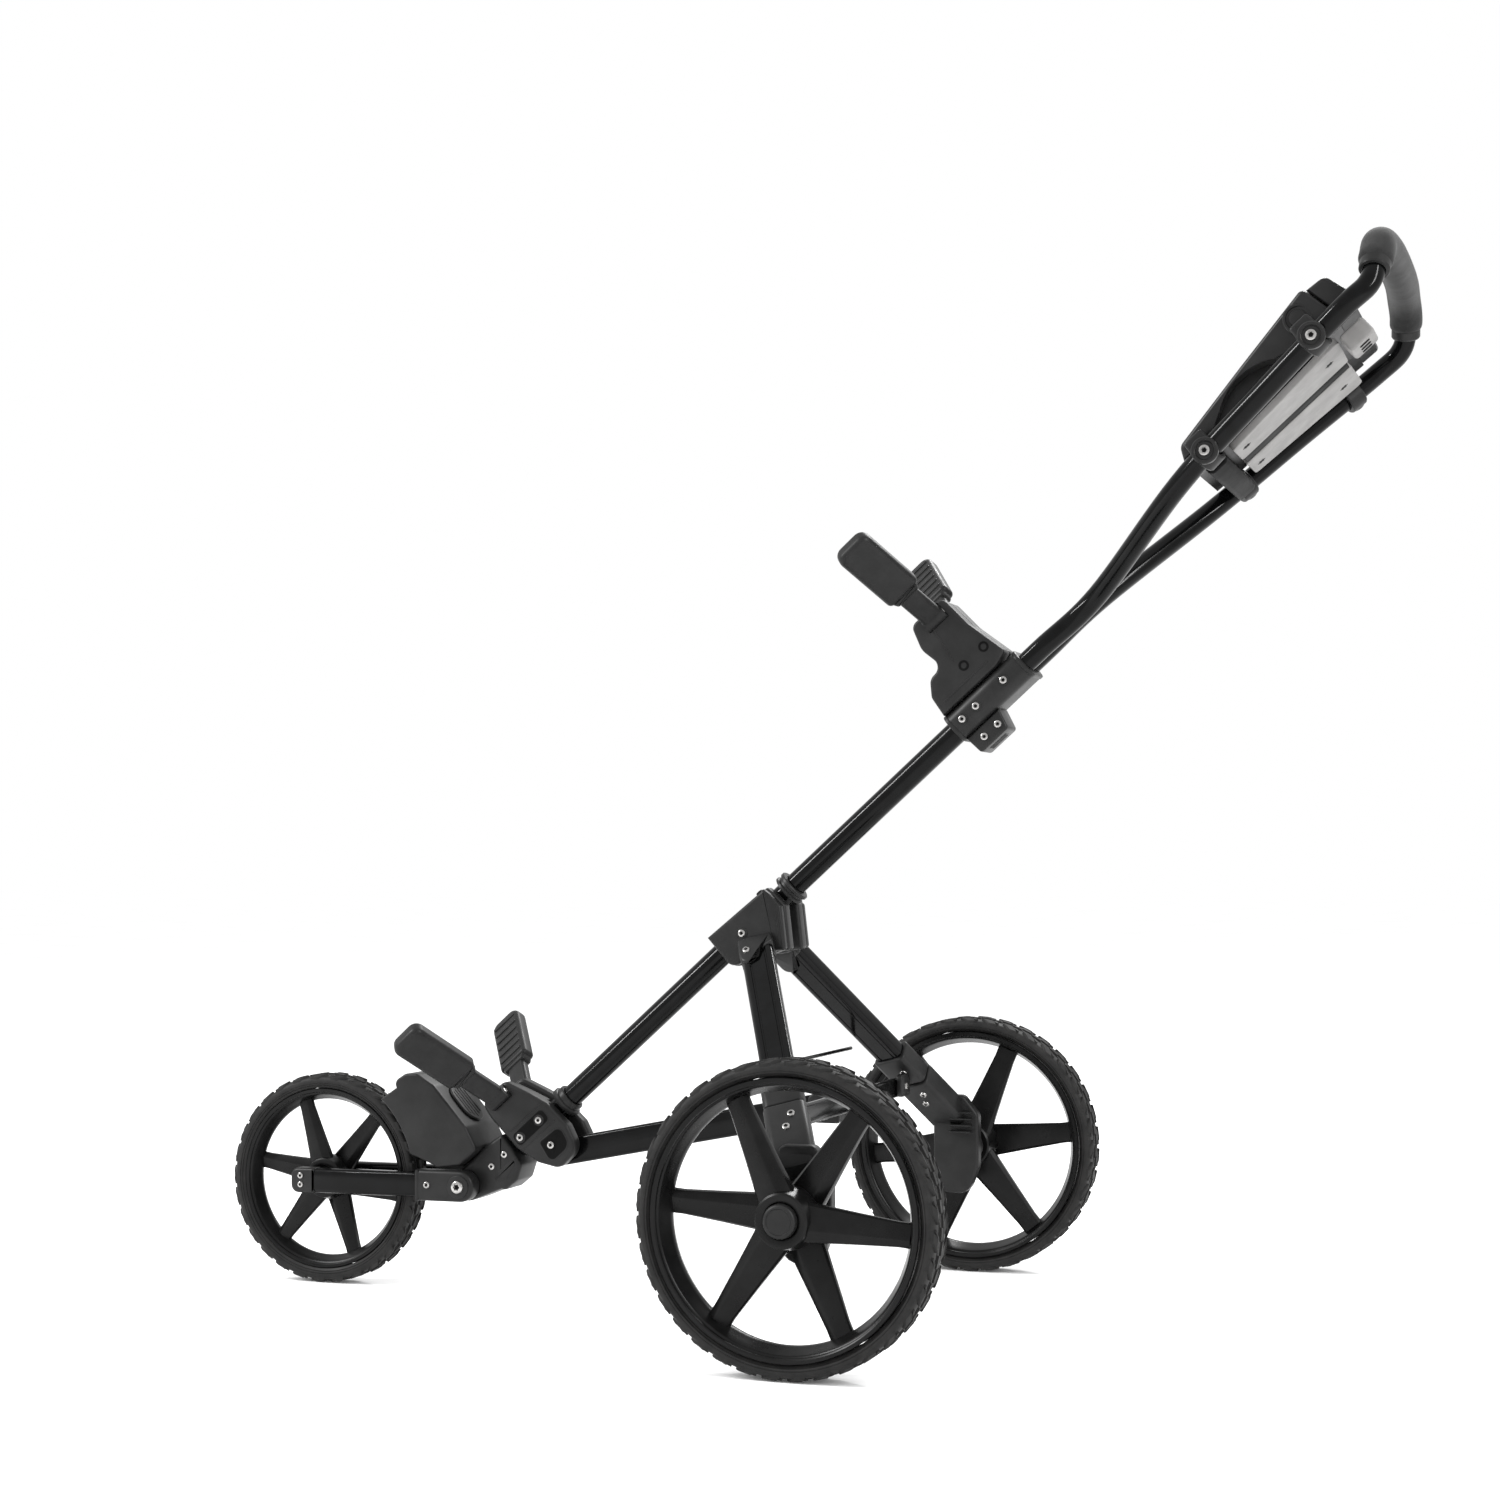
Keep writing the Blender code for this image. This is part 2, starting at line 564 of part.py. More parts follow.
def make_arm(name, root, tip, side):
    """A padded arm that swings on a barrel lying along the frame."""
    start, end = arm_point(root, side), arm_point(tip, side)
    reach = (end - start).length
    neck = ARM_NECK_WIDE / 2 - 0.001
    outline = [Vector((0.0, -neck)), Vector((reach - 0.020, -neck)), Vector((reach - 0.020, neck)), Vector((0.0, neck))]
    arm = plate("arm_plate", [outline], ARM_THICK, place(start, end - start, ALONG), None, edge=0.003)
    pad_outline = rounded([(reach - PAD_LENGTH + 0.006, -PAD_WIDE / 2, 0.005), (reach, -PAD_WIDE / 2, 0.009),
                           (reach, PAD_WIDE / 2, 0.009), (reach - PAD_LENGTH + 0.006, PAD_WIDE / 2, 0.005)], 3)
    pad = plate("arm_pad", [pad_outline], PAD_THICK, place(start, end - start, ALONG), None, edge=0.0045, helper=True)
    boolean(arm, pad, "UNION")
    half = ALONG * (ARM_NECK_WIDE / 2)
    barrel = cylinder(name + "_barrel", start - half, start + half, ARM_ROOT_RADIUS, None, 20, helper=True)
    finish(boolean(arm, barrel, "UNION"), name, PAD_RUBBER)


def make_arms():
    for side_name, side in (("left", -1), ("right", 1)):
        make_arm("lower_arm_" + side_name, LOWER_ARM_ROOT, LOWER_ARM_TIP, side)
        make_arm("upper_arm_" + side_name, UPPER_ARM_ROOT, UPPER_ARM_TIP, side)


make_lower_bracket()
make_arms()

# ---------------------------------------------------------------- knee
FOLD_PIN_ALONG = 0.028  # the upper frame folds here
LEG_PIN = frame_point(0.0140, -0.0178)  # the legs fold here
PIN_RECESS = 0.0005  # how far the pins' ends lie inside the shells
COLLAR_RADIUS = 0.0190
COLLAR_START = 0.0570
UPPER_TUBE_START = 0.0180
UPPER_TUBE_END = 0.3655


def cross_pin(name, centre, reach):
    """A steel pin along Y through a world point, to the same reach on both sides."""
    end = Vector((0, reach, 0))
    finish(cylinder("pin", centre - end, centre + end, PIN_RADIUS, None), name, STEEL)


def hole_along_y(centre, radius):
    return cylinder("hole", centre - Vector((0, 0.4, 0)), centre + Vector((0, 0.4, 0)), radius, None, helper=True)


def knee_outline(size=1.0):
    """The side of the knee, with its spur below the upper tube; size shrinks it about its middle."""
    outline = [Vector((-0.0360, 0.0165))]
    outline += arc((-0.0240, -0.0180), 0.0125, 185, 265, 4)
    outline += [Vector((-0.0060, -0.0365)), Vector((0.0060, -0.0440)), Vector((0.0160, -0.0480)),
                Vector((0.0245, -0.0550)), Vector((0.0532, -0.0145)), Vector((0.0520, 0.0040)),
                Vector((0.0495, 0.0165))]
    middle = Vector((0.0100, -0.0160))
    return [middle + (point - middle) * size for point in outline]


def make_knee():
    """Two shells bolted over the tubes, open above where the upper tube swings forward."""
    outline = knee_outline()
    crown = [Vector((-0.0360, 0.0135)), Vector((0.0030, 0.0135)), Vector((0.0020, 0.0165)), Vector((-0.0360, 0.0165))]
    fold_pin = frame_point(FOLD_PIN_ALONG)
    for side_name, side in (("left", -1), ("right", 1)):
        middle = side * (CHEEK_IN + CHEEK_OUT) / 2
        shell = plate("shell", [outline], CHEEK_OUT - CHEEK_IN, side_plane(middle), None, edge=0.003)
        inner = plate("crown", [crown], CHEEK_IN + 0.006 - GAP, side_plane(side * (CHEEK_IN + 0.006 + GAP) / 2), None,
                      helper=True)
        boolean(shell, inner, "UNION")
        for centre in (fold_pin, LEG_PIN):
            boolean(shell, hole_along_y(centre, PIN_RADIUS + GAP))
        finish(shell, "knee_shell_" + side_name, DARK_PLASTIC)
    cross_pin("fold_pin", fold_pin, CHEEK_OUT - PIN_RECESS)
    cross_pin("leg_pivot_pin", LEG_PIN, KNUCKLE_OUT - PIN_RECESS)


# ---------------------------------------------------------------- rear legs
LEG_WIDE = 0.035
LEG_THICK = 0.020
LEG_WALL = 0.002
LEG_TOP = (REAR_AXLE_X - 0.144, 0.033, 0.404)
LEG_FOOT = (REAR_AXLE_X - 0.017, 0.270, 0.195)
KNUCKLE_IN = CHEEK_OUT + PLAY
KNUCKLE_OUT = 0.0420
AXLE_END_Y = TRACK / 2 + REAR_WHEEL.hub_half - 0.0005
HUB_PLATE_Y = (0.2660, 0.2830)
COLLAR_ROUND = 0.0205  # the shouldered collar between hub bracket and wheel
TIE_X = REAR_AXLE_X - 0.0515
TIE_Z = 0.2260
TIE_HALF = 0.1975


def leg_point(share, side):
    """A point on a leg's middle line, from 0 at the knee to 1 at the hub bracket."""
    return Vector(tuple(a + (b - a) * share for a, b in zip((LEG_TOP[0], side * LEG_TOP[1], LEG_TOP[2]),
                                                           (LEG_FOOT[0], side * LEG_FOOT[1], LEG_FOOT[2]))))


def leg_section(share, side):
    """Local X across the leg's wide face, local Y through its thickness, local Z along the leg."""
    down = (leg_point(1, side) - leg_point(0, side)).normalized()
    wide = (Vector((1, 0, 0)) - down * down.x).normalized()
    return place(leg_point(share, side), wide, down.cross(wide))


def leg_length(share_from, share_to):
    return (leg_point(share_to, 1) - leg_point(share_from, 1)).length


def leg_bar(name, share_from, share_to, wide, thick, radius, side, helper=False, hollow=0.0, edge=0.0):
    """A rounded rectangular bar along part of a leg."""
    outlines = []
    for inset in (0.0, hollow) if hollow else (0.0,):
        half_wide, half_thick, round_to = wide / 2 - inset, thick / 2 - inset, radius - inset * 0.8
        outlines.append(rounded([(-half_wide, -half_thick, round_to), (half_wide, -half_thick, round_to),
                                 (half_wide, half_thick, round_to), (-half_wide, half_thick, round_to)], 2))
    length = leg_length(share_from, share_to)
    return plate(name, outlines, length, leg_section((share_from + share_to) / 2, side), None, edge, helper)


def make_leg(side_name, side):
    leg = leg_bar("leg", 0.07, 0.985, LEG_WIDE, LEG_THICK, 0.006, side, hollow=LEG_WALL)
    finish(leg, "rear_leg_" + side_name, BLACK_PAINT)

    def socket(share_from, share_to):
        return leg_bar("socket", share_from, share_to, LEG_WIDE + 2 * GAP, LEG_THICK + 2 * GAP, 0.006, side, helper=True)

    middle = side * (KNUCKLE_IN + KNUCKLE_OUT) / 2
    knuckle = plate("knuckle", [knee_outline(0.97)], KNUCKLE_OUT - KNUCKLE_IN, side_plane(middle), None, edge=0.002)
    sleeve = leg_bar("sleeve", 0.045, 0.215, LEG_WIDE + 0.007, LEG_THICK + 0.007, 0.007, side, helper=True)
    trim = block("trim", (0.2, 0.2, 0.2), Matrix.Translation((LEG_PIN.x, side * (KNUCKLE_IN - 0.1), LEG_PIN.z)), None,
                 helper=True)
    boolean(knuckle, sleeve, "UNION")
    boolean(knuckle, trim)
    boolean(knuckle, socket(0.069, 0.30))
    boolean(knuckle, hole_along_y(LEG_PIN, PIN_RADIUS + GAP))
    finish(knuckle, "leg_knuckle_" + side_name, DARK_PLASTIC)

    bracket = leg_bar("tie_bracket", 0.665, 0.800, LEG_WIDE + 0.007, LEG_THICK + 0.007, 0.005, side)
    lug = block("lug", (0.007, 0.034, 0.026), Matrix.Translation((TIE_X + 0.0073, side * 0.1910, TIE_Z + 0.003)), None,
                helper=True)
    boolean(bracket, lug, "UNION")
    finish(boolean(bracket, socket(0.55, 0.95)), "tie_bracket_" + side_name, DARK_PLASTIC)

    hub = leg_bar("hub_sleeve", 0.8035, 1.060, LEG_WIDE + 0.009, LEG_THICK + 0.010, 0.006, side)
    axle = Vector((REAR_AXLE_X, 0, REAR_RADIUS))
    outline = rounded([(-0.026, -0.052, 0.018), (0.012, -0.052, 0.018), (0.024, -0.020, 0.014), (0.024, 0.040, 0.010),
                       (0.006, 0.062, 0.008), (-0.030, 0.062, 0.008), (-0.030, -0.010, 0.010)], 2)
    ear = plate("hub_plate", [outline], HUB_PLATE_Y[1] - HUB_PLATE_Y[0],
                upright_plane(axle.x, side * sum(HUB_PLATE_Y) / 2, axle.z), None, helper=True)
    boolean(hub, ear, "UNION")
    boolean(hub, socket(0.70, 0.986))
    finish(boolean(hub, hole_along_y(axle, AXLE_RADIUS + GAP)), "hub_bracket_" + side_name, DARK_PLASTIC)

    shaft = cylinder("shaft", (axle.x, side * (HUB_PLATE_Y[0] - 0.004), axle.z), (axle.x, side * AXLE_END_Y, axle.z),
                     AXLE_RADIUS, None)
    collar = cylinder("collar", (axle.x, side * (HUB_PLATE_Y[1] + GAP), axle.z),
                      (axle.x, side * (TRACK / 2 - REAR_WHEEL.hub_half - PLAY), axle.z), COLLAR_ROUND, None, 24, helper=True)
    finish(boolean(shaft, collar, "UNION"), "rear_axle_" + side_name, STEEL)


def hook_outline(plane):
    """The way the front pin leaves the strut's hook as the legs fold, as an outline in the strut's plane."""
    half = PIN_RADIUS + PLAY
    path = []
    for step in range(HOOK_STEPS + 1):
        fold = HOOK_FOLD * step / HOOK_STEPS
        legs = Matrix.Translation(LEG_PIN) @ Matrix.Rotation(fold, 4, "Y") @ Matrix.Translation(-LEG_PIN)
        swing = Matrix.Rotation(STRUT_RATIO * fold, 4, "Y")
        strut = legs @ Matrix.Translation(STRUT_REAR) @ swing @ Matrix.Translation(-STRUT_REAR)
        path.append(((strut @ plane).inverted() @ STRUT_PIN).xy)
    sides = []
    for index, point in enumerate(path):
        ahead = (path[min(index + 1, HOOK_STEPS)] - path[max(index - 1, 0)]).normalized()
        sides.append(Vector((-ahead.y, ahead.x)) * half)
    upper = [point + side for point, side in zip(path, sides)]
    lower = [point - side for point, side in zip(path, sides)]
    return upper + lower[::-1]


def make_rear_frame():
    for side_name, side in (("left", -1), ("right", 1)):
        make_leg(side_name, side)
    x, z = REAR_AXLE_X - 0.0960, 0.2720
    finish(rod("rod", [(x, -0.1560, z), (x, 0.1560, z)], 0.0022, None, sides=1), "cross_rod", STEEL)

    tie = plate("tie", [capsule_centred(2 * TIE_HALF, 0.022, 5)], 0.007,
                place((TIE_X, 0, TIE_Z), (0, 1, 0), (0, 0, 1)), None, edge=0.002)
    clevis_half = STRUT_WIDE / 2 + 0.0075
    clevis = block("clevis", (0.0360, 2 * clevis_half, 0.032), Matrix.Translation((TIE_X - 0.0205, 0, STRUT_REAR.z)), None,
                   edge=0.003, helper=True)
    slot_end = STRUT_REAR.x + STRUT_TALL / 2 + STRUT_LEAN_ROOM
    slot = block("slot", (0.040, STRUT_WIDE + 2 * PLAY, 0.060), Matrix.Translation((slot_end - 0.020, 0, STRUT_REAR.z)),
                 None, helper=True)
    pin = cylinder("rear_pin", STRUT_REAR - Vector((0, clevis_half + 0.001, 0)),
                   STRUT_REAR + Vector((0, clevis_half + 0.001, 0)), PIN_RADIUS, None, helper=True)
    boolean(tie, clevis, "UNION")
    boolean(tie, slot)
    finish(boolean(tie, pin, "UNION"), "rear_tie", DARK_PLASTIC)

    run = STRUT_REAR - STRUT_PIN
    half = STRUT_TALL / 2 - 0.0001
    outline = arc((0, 0), half, 90, 270, 6) + arc((run.length, 0), half, -90, 90, 6)
    plane = place(STRUT_PIN, run, (0, 0, 1))
    strut = plate("strut", [outline], STRUT_WIDE, plane, None, edge=0.004)
    for centre in (STRUT_PIN, STRUT_REAR):
        boolean(strut, hole_along_y(centre, PIN_RADIUS + GAP))
    boolean(strut, plate("hook_mouth", [hook_outline(plane)], 0.060, plane, None, helper=True))
    finish(strut, "strut", BLACK_PAINT)


make_knee()
make_rear_frame()

# ---------------------------------------------------------------- upper frame
UPPER_SLEEVE = (0.3150, 0.4190)
HANDLE_START = 0.3670
HANDLE_SIDE = 0.0119  # the two handle runs lie side by side at first
HANDLE_STRAIGHT = frame_point(0.4400)
HANDLE_SPLIT = frame_point(0.5220)
HANDLE_BEND = Vector((REAR_AXLE_X + 0.3307, 0.0990, 0.8610))
HANDLE_MIDDLE = Vector((REAR_AXLE_X + 0.4177, 0.1360, 0.9395))
HANDLE_TOP = Vector((REAR_AXLE_X + 0.4960, 0.1650, 1.0080))
LOOP_SIDE = Vector((REAR_AXLE_X + 0.5230, 0.1630, 1.0330))
LOOP_RISE = Vector((REAR_AXLE_X + 0.5290, 0.1500, 1.0600))
LOOP_CORNER = Vector((REAR_AXLE_X + 0.5295, 0.1230, 1.0785))
LOOP_BAR = Vector((REAR_AXLE_X + 0.5320, 0.0700, 1.0830))
LOOP_MIDDLE = Vector((REAR_AXLE_X + 0.5330, 0.0, 1.0830))


def smooth(points, per_span=5):
    """A Catmull-Rom curve through the points."""
    ends = [points[0] * 2 - points[1]] + list(points) + [points[-1] * 2 - points[-2]]
    curve = []
    for a, b, c, d in zip(ends, ends[1:], ends[2:], ends[3:]):
        for step in range(per_span):
            t = step / per_span
            curve.append(0.5 * (2 * b + (c - a) * t + (2 * a - 5 * b + 4 * c - d) * t**2 + (3 * b - a - 3 * c + d) * t**3))
    return curve + [points[-1]]


def handle_route():
    """The whole handle tube, from the sleeve round the loop and back."""
    side_by_side = [frame_point(HANDLE_START), HANDLE_STRAIGHT, HANDLE_SPLIT]
    half = [Vector((p.x, HANDLE_SIDE, p.z)) for p in side_by_side]
    half += [HANDLE_BEND, HANDLE_MIDDLE, HANDLE_TOP, LOOP_SIDE, LOOP_RISE, LOOP_CORNER, LOOP_BAR, LOOP_MIDDLE]
    near = [Vector((p.x, -p.y, p.z)) for p in half]
    return near + half[-2::-1]


def make_handle():
    route = smooth(handle_route(), 2)
    finish(hose("tube", route, HANDLE_RADIUS, HANDLE_RADIUS - TUBE_WALL, None), "handle_loop", BLACK_PAINT)
    first = next(i for i, p in enumerate(route) if p.z > LOOP_SIDE.z + 0.004)
    covered = route[first:len(route) - first]
    finish(hose("foam", covered, GRIP_RADIUS, HANDLE_RADIUS + 0.0013, None), "grip", FOAM)


def make_upper_bracket():
    tube = pipe("tube", frame_point(UPPER_TUBE_START), frame_point(UPPER_TUBE_END), TUBE_RADIUS, TUBE_RADIUS - TUBE_WALL,
                None)
    fold_hole = hole_along_y(frame_point(FOLD_PIN_ALONG), PIN_RADIUS + PLAY)
    finish(boolean(tube, fold_hole), "upper_tube", BLACK_PAINT)

    collar = pipe("collar", frame_point(COLLAR_START), frame_point(COLLAR_START + 0.012), COLLAR_RADIUS, TUBE_RADIUS + GAP,
                  None)
    finish(collar, "knee_collar", DARK_PLASTIC)

    middle = sum(UPPER_SLEEVE) / 2
    half_wide = HANDLE_SIDE + HANDLE_RADIUS + 0.0045
    sleeve = block("sleeve", (UPPER_SLEEVE[1] - UPPER_SLEEVE[0], 0.033, 2 * half_wide),
                   side_plane(0.0) @ Matrix.Translation((middle, 0, 0)), None, edge=0.0075)
    boolean(sleeve, cylinder("tube_bore", frame_point(0.30), frame_point(UPPER_TUBE_END + GAP), TUBE_RADIUS + GAP, None, 24,
                             helper=True))
    for side in (-1, 1):
        start, end = frame_point(HANDLE_START - GAP), frame_point(0.44)
        start.y = end.y = side * HANDLE_SIDE
        boolean(sleeve, cylinder("handle_bore", start, end, HANDLE_RADIUS + GAP, None, 24, helper=True))
    finish(sleeve, "upper_sleeve", DARK_PLASTIC)

    outline = rounded(
        [(0.3180, 0.0169, 0.0), (0.3950, 0.0169, 0.0), (0.4130, 0.0220, 0.004), (0.4020, 0.0700, 0.010),
         (0.4010, 0.1120, 0.006), (0.3560, 0.1120, 0.006), (0.3470, 0.0850, 0.012), (0.3540, 0.0570, 0.006),
         (0.3330, 0.0560, 0.008), (0.3210, 0.0400, 0.008)]
    )
    for side_name, side in (("left", -1), ("right", 1)):
        half = CHEEK_OUT - 0.003
        shell = plate("shell", [outline], half - GAP, side_plane(side * (half + GAP) / 2), None, edge=0.002)
        finish(boolean(shell, pocket_for_arm(UPPER_ARM_ROOT, UPPER_ARM_TIP, side)), "upper_bracket_" + side_name,
               DARK_PLASTIC)

    outline = rounded([(0.3190, -0.0169, 0.0), (0.3210, -0.0390, 0.004), (0.3600, -0.0390, 0.004),
                       (0.3660, -0.0169, 0.0)])
    hook = plate("hook", [outline], 0.040, side_plane(0.0), None, edge=0.002)
    finish(hook, "accessory_mount", DARK_PLASTIC)


# ---------------------------------------------------------------- console
CONSOLE_START = Vector((REAR_AXLE_X + 0.3605, 0, 0.8875))
CONSOLE_RISE = (HANDLE_TOP - HANDLE_BEND).normalized()
CONSOLE_ANGLE = math.atan2(CONSOLE_RISE.z, CONSOLE_RISE.x)
CONSOLE_FLOOR = HANDLE_RADIUS + 0.0008
CONSOLE_WIDEN = 1.9  # how much the half width grows for each metre up the tubes
UPPER_CLAMP = 0.1464
LID_HINGE = (0.1610, 0.0500)
COMPARTMENT = (0.058, 0.050, 0.150)  # the space under the lid, open above


def console_plane(along=0.0, above=0.0, y=0.0):
    """Local X up the handle tubes, local Y out of their top, local Z towards -Y."""
    ahead = Vector((math.cos(CONSOLE_ANGLE), 0, math.sin(CONSOLE_ANGLE)))
    out = Vector((-ahead.z, 0, ahead.x))
    return place(CONSOLE_START + ahead * along + out * above + Vector((0, y, 0)), ahead, out)


def widen(made):
    """Spreads a console piece sideways as the tubes spread."""
    for vert in made.data.vertices:
        vert.co.z *= 1 + CONSOLE_WIDEN * vert.co.x
    return made


def handle_half_width(along):
    """Distance of the handle tube's middle from the centre plane, beside the console."""
    x = (console_plane(along)).translation.x
    low, high = (HANDLE_BEND, HANDLE_MIDDLE) if x < HANDLE_MIDDLE.x else (HANDLE_MIDDLE, HANDLE_TOP)
    return low.y + (high.y - low.y) * (x - low.x) / (high.x - low.x)


def make_console():
    floor = CONSOLE_FLOOR
    outline = rounded([(-0.0230, floor, 0.0), (-0.0150, 0.0270, 0.006), (0.0800, 0.0385, 0.020), (0.1720, 0.0485, 0.004),
                       (0.1780, floor, 0.0)])
    body = widen(plate("body", [outline], 0.216, console_plane(), None, edge=0.003))
    well = block("well", COMPARTMENT, console_plane(0.1210, 0.016 + COMPARTMENT[1] / 2), None, edge=0.004, helper=True)
    finish(boolean(body, well), "console_body", DARK_PLASTIC)
    outline = rounded([(0.1787, floor + 0.001, 0.0), (0.1740, 0.0450, 0.0), (0.1960, 0.0430, 0.006),
                       (0.2030, floor, 0.004)])
    finish(plate("end", [outline], 0.276, console_plane(), None, edge=0.003), "console_end_box", DARK_PLASTIC)

    half_low, half_high = 0.078, 0.112
    outline = rounded([(0.000, -half_low, 0.006), (0.1460, -half_high, 0.006), (0.1460, half_high, 0.006),
                       (0.000, half_low, 0.006)])
    slot = rounded([(0.016, -0.009, 0.004), (0.130, -0.009, 0.004), (0.130, 0.009, 0.004), (0.016, 0.009, 0.004)])
    sheet = console_plane(0.018, -0.004)
    flat = place(sheet.translation, sheet.col[0].xyz, (0, 1, 0))
    finish(plate("tray", [outline, slot], 0.008, flat, None, edge=0.001), "console_tray", GREY_PLASTIC)

    wide = handle_half_width(-0.010) - HANDLE_RADIUS - 0.004
    bridge = block("bridge", (0.024, 0.026, 2 * wide), console_plane(-0.0010, -0.0025), None, edge=0.004)
    finish(bridge, "console_bridge", DARK_PLASTIC)

    lid = plate("lid", [rounded([(0.086, 0.0402, 0.001), (0.086, 0.0428, 0.001), (0.1560, 0.0506, 0.001),
                                 (0.1560, 0.0478, 0.001)], 2)], 0.180, console_plane(), None)
    tab = block("tab", (0.008, 0.004, 0.030), console_plane(0.0830, 0.0425), None, edge=0.001, helper=True)
    hinge_start, hinge_end = (console_plane(*LID_HINGE, y).translation for y in (-0.060, 0.060))
    barrel = cylinder("lid_barrel", hinge_start, hinge_end, 0.0022, None, 12, helper=True)
    arm = block("lid_arm", (0.010, 0.0026, 0.120), console_plane(0.1570, 0.0497), None, helper=True)
    for other in (tab, arm, barrel):
        boolean(lid, other, "UNION")
    finish(lid, "console_lid", DARK_PLASTIC)

    holder = block("holder", (0.030, 0.020, 0.044), console_plane(0.1800, -0.0165, -0.095), None, edge=0.003)
    finish(holder, "tee_holder", GREY_PLASTIC)

    for side_name, side in (("left", -1), ("right", 1)):
        centre = console_plane(UPPER_CLAMP, 0.0, side * handle_half_width(UPPER_CLAMP)).translation
        half = CONSOLE_RISE * 0.010
        half.y *= side
        ring = pipe("ring", centre - half, centre + half, HANDLE_RADIUS + 0.0055, HANDLE_RADIUS + 0.0020, None, 16)
        finish(ring, "console_clamp_" + side_name, DARK_PLASTIC)


make_upper_bracket()
make_handle()
make_console()
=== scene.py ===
"""Folding golf push trolley: the looks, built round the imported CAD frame.

Metres, +Z up.  -X is the direction of travel and -Y is the trolley's left side.
Positions are those of the CAD part.
"""

import math

import bmesh
import bpy
from mathutils import Matrix, Vector


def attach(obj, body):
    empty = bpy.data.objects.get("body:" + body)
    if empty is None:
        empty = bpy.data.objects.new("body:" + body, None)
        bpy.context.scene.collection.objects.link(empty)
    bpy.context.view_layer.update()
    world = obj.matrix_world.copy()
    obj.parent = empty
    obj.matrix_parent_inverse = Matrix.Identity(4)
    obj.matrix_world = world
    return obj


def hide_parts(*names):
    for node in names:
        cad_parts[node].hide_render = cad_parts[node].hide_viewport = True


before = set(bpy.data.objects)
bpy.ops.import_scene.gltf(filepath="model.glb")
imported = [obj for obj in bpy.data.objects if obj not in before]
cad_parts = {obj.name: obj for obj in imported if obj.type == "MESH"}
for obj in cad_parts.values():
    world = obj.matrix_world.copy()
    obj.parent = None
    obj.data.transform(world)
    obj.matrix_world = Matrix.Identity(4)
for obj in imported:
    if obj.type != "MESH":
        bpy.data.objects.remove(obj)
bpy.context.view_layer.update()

# ---------------- shared dimensions
REAR_AXLE_X = 0.1252
FRONT_AXLE_X = REAR_AXLE_X - 0.68
HALF_TRACK = 0.334
REAR_RADIUS = 0.15
FRONT_RADIUS = 0.12
TUBE_ANGLE = math.radians(41.9)
TUBE_RADIUS = 0.0125
TUBE_WALL = 0.0015
HANDLE_RADIUS = 0.011
GRIP_RADIUS = 0.017
KNEE = Vector((REAR_AXLE_X - 0.16, 0, 0.4135))
ALONG = Vector((math.cos(TUBE_ANGLE), 0, math.sin(TUBE_ANGLE)))
ABOVE = Vector((-math.sin(TUBE_ANGLE), 0, math.cos(TUBE_ANGLE)))
SIDES = (("left", -1), ("right", 1))


def frame_point(along, above=0.0, y=0.0):
    return KNEE + ALONG * along + ABOVE * above + Vector((0, y, 0))


def place(origin, x_axis, y_axis):
    x_axis = Vector(x_axis).normalized()
    z_axis = x_axis.cross(Vector(y_axis)).normalized()
    turned = Matrix((x_axis, z_axis.cross(x_axis), z_axis)).transposed().to_4x4()
    return Matrix.Translation(origin) @ turned


def side_plane(y):
    """Local X along the main tubes, local Y above them, local Z towards the left side."""
    return place(KNEE + Vector((0, y, 0)), ALONG, ABOVE)


def upright_plane(x, y, z):
    """Local X backwards, local Y up."""
    return place((x, y, z), (1, 0, 0), (0, 0, 1))


def cross_plane(x, y, z):
    """Local X across the trolley, local Y up."""
    return place((x, y, z), (0, 1, 0), (0, 0, 1))


def facing(point, normal):
    """Local Z along the normal."""
    normal = Vector(normal).normalized()
    up = Vector((0, 0, 1)) if abs(normal.z) < 0.95 else Vector((1, 0, 0))
    x_axis = up.cross(normal)
    return place(point, x_axis, normal.cross(x_axis))


# ---------------- outlines
def rounded(corners, steps=5):
    """The outline of (x, y, radius) corners with each corner as an arc."""
    outline = []
    for index, (x, y, radius) in enumerate(corners):
        here = Vector((x, y))
        back = (Vector(corners[index - 1][:2]) - here).normalized()
        ahead = (Vector(corners[(index + 1) % len(corners)][:2]) - here).normalized()
        if radius <= 0:
            outline.append(here)
            continue
        half = back.angle(ahead) / 2
        centre = here + (back + ahead).normalized() * (radius / math.sin(half))
        start = here + back * (radius / math.tan(half)) - centre
        end = here + ahead * (radius / math.tan(half)) - centre
        sweep = start.angle_signed(end)
        for step in range(steps + 1):
            outline.append(centre + Matrix.Rotation(-sweep * step / steps, 2) @ start)
    return outline


def arc(centre, radius, start_deg, end_deg, steps=12):
    turns = [math.radians(start_deg + (end_deg - start_deg) * i / steps) for i in range(steps + 1)]
    return [Vector((centre[0] + radius * math.cos(t), centre[1] + radius * math.sin(t))) for t in turns]


def stadium(length, height, steps=12):
    half, flat = height / 2, (length - height) / 2
    return arc((flat, 0), half, -90, 90, steps) + arc((-flat, 0), half, 90, 270, steps)


def rectangle(wide, tall, radius, steps=5):
    x, y = wide / 2, tall / 2
    return rounded([(-x, -y, radius), (x, -y, radius), (x, y, radius), (-x, y, radius)], steps)


def box_outline(start, end, half, radii):
    """A rectangle from X = start to X = end, its corners' radii given as (start, end)."""
    first, last = radii
    return [(start, -half, first), (end, -half, last), (end, half, last), (start, half, first)]


def tapered(foot, top, low, high, radii):
    """An outline from half width foot at Y = low to half width top at Y = high."""
    first, last = radii
    return rounded([(-foot, low, first), (foot, low, first), (top, high, last), (-top, high, last)])


